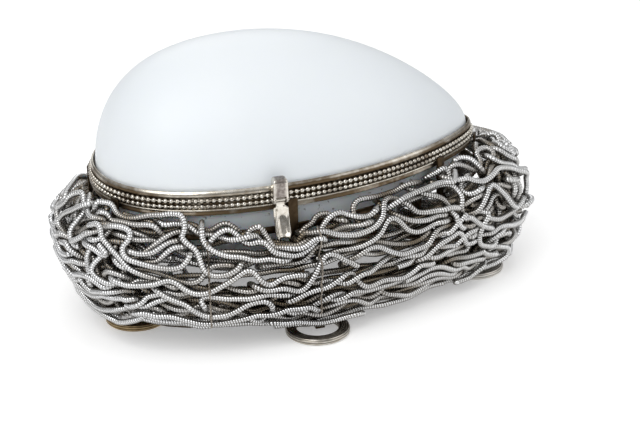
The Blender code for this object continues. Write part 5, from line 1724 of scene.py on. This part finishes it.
# %% The nest, 5: winding
COVER_REACH, COVER_OUT, COVER_FULL = 6.5 * MM, 1.6 * MM, 14
MIDDLE_DROP = 12 * MM


def buried():
    """0 on the nest's skin to 1 where other wires lie outside a point."""
    tree = tree_of(points)
    outward = unit((points - (EGG_X, 0, SEAM - MIDDLE_DROP)) / NEST_HALF ** 2)
    covered = np.zeros(len(points))
    for k, p in enumerate(points):
        near = [other for _, other, _ in tree.find_range(p, COVER_REACH) if strand_of[other] != strand_of[k]]
        if near:
            covered[k] = ((points[near] - p) @ outward[k] > COVER_OUT).sum()
    return share_along(np.clip(covered / COVER_FULL, 0, 1)[:, None], 3)[:, 0]


cover = buried()
faces = 0
for k, strand in enumerate(strands):
    path = np.column_stack([points, cover + rng.uniform(-0.1, 0.2)])[first_of[k]:first_of[k + 1]]
    path = smooth_line(path, len(path) * 2, strand["closed"])
    obj = line_object(strand["name"], path[:, :3], strand["closed"])
    # The attribute deep makes the finish paint covered wire brown, partly patina and partly painted shade.
    deep = obj.data.attributes.new("deep", "FLOAT", "POINT")
    deep.data.foreach_set("value", np.clip(path[:, 3], 0, 1))
    grow(obj, gimp, Radius=WIRE_RADIUS, Pitch=WINDING_PITCH, Finish=wound_wire)
    take_place(obj, "base", strand["node"])
    faces += len(obj.data.polygons)
print("the nest has", faces, "faces")

# %% [markdown]
# ## Ties
#
# Thin wires, two and two twisted together, hold the outer turns of the nest. Each runs down the outside of
# the wires in an upright plane. So its line is found where the settled wires cross that plane: in each narrow
# fan of directions from the middle of the nest's wall, the outermost crossing carries the tie, and in between
# the tie runs straight on.

# %% Ties
TIE_RADIUS, TIE_PITCH, TIE_STEP = 0.22 * MM, 3.4 * MM, 0.35 * MM
PLANE_HALF, TIE_DOWN = 1.4 * MM, 6 * MM
WALL_HALF, WALL_DOWN = 13 * MM, 28 * MM
FAN_HALF = math.radians(7)
TIE_TURNS = (265, 235, 118, 52)


def tie_path(degrees):
    """Line down the outside of the settled wires in the upright plane through a turn."""
    turn = math.radians(degrees)
    origin = np.array(outline(turn))
    outward = np.array(outline(turn, 1.0)) - origin
    along = np.array((-outward[1], outward[0]))
    flat = points[:, :2] - origin
    near = (np.abs(flat @ along) < PLANE_HALF) & (flat @ outward > 0) & (points[:, 2] < SEAM - TIE_DOWN)
    found = np.column_stack([flat[near] @ outward, points[near, 2]])
    middle = np.array([found[:, 0].max() - WALL_HALF, SEAM - WALL_DOWN])
    bearing = np.arctan2(found[:, 1] - middle[1], found[:, 0] - middle[0])
    distance = np.hypot(*(found - middle).T)
    angles = np.radians(np.linspace(62, -60, 22))
    far = np.array([distance[np.abs(bearing - a) < FAN_HALF].max(initial=0) for a in angles])
    seen = far > 0
    far = np.interp(np.arange(len(far)), np.flatnonzero(seen), far[seen])
    far[1:-1] = (far[:-2] + 2 * far[1:-1] + far[2:]) / 4
    away = far + WIRE_RADIUS + 1.2 * TIE_RADIUS
    path = np.array([middle + d * np.array((math.cos(a), math.sin(a))) for a, d in zip(angles, away)])
    return np.column_stack([origin + outward * path[:, :1], path[:, 1]])


for number, degrees in enumerate(TIE_TURNS, 1):
    knots = tie_path(degrees)
    apart = np.concatenate([[True], np.linalg.norm(np.diff(knots, axis=0), axis=1) > 0.8 * MM])
    line = even_line(knots[apart], False, TIE_STEP)
    along = unit(np.gradient(line, axis=0))
    side = unit(np.cross(along, (1, 0, 0)))
    other = np.cross(along, side)
    turn = np.arange(len(line)) * TIE_STEP / TIE_PITCH * FULL_TURN
    twist = side * np.cos(turn)[:, None] + other * np.sin(turn)[:, None]
    size = len(line)
    edges = [(k + j * size, k + 1 + j * size) for j in (0, 1) for k in range(size - 1)]
    both = np.vstack([line + twist * TIE_RADIUS, line - twist * TIE_RADIUS])
    tie = new_mesh_object(f"twisted_tie_{number}", both, [], edges)
    grow(tie, rods, Radius=TIE_RADIUS, Finish=tie_metal)
    soften(tie.data, 60)
    take_place(tie, "base", f"tie_{number}")
print(len(TIE_TURNS), "ties done")
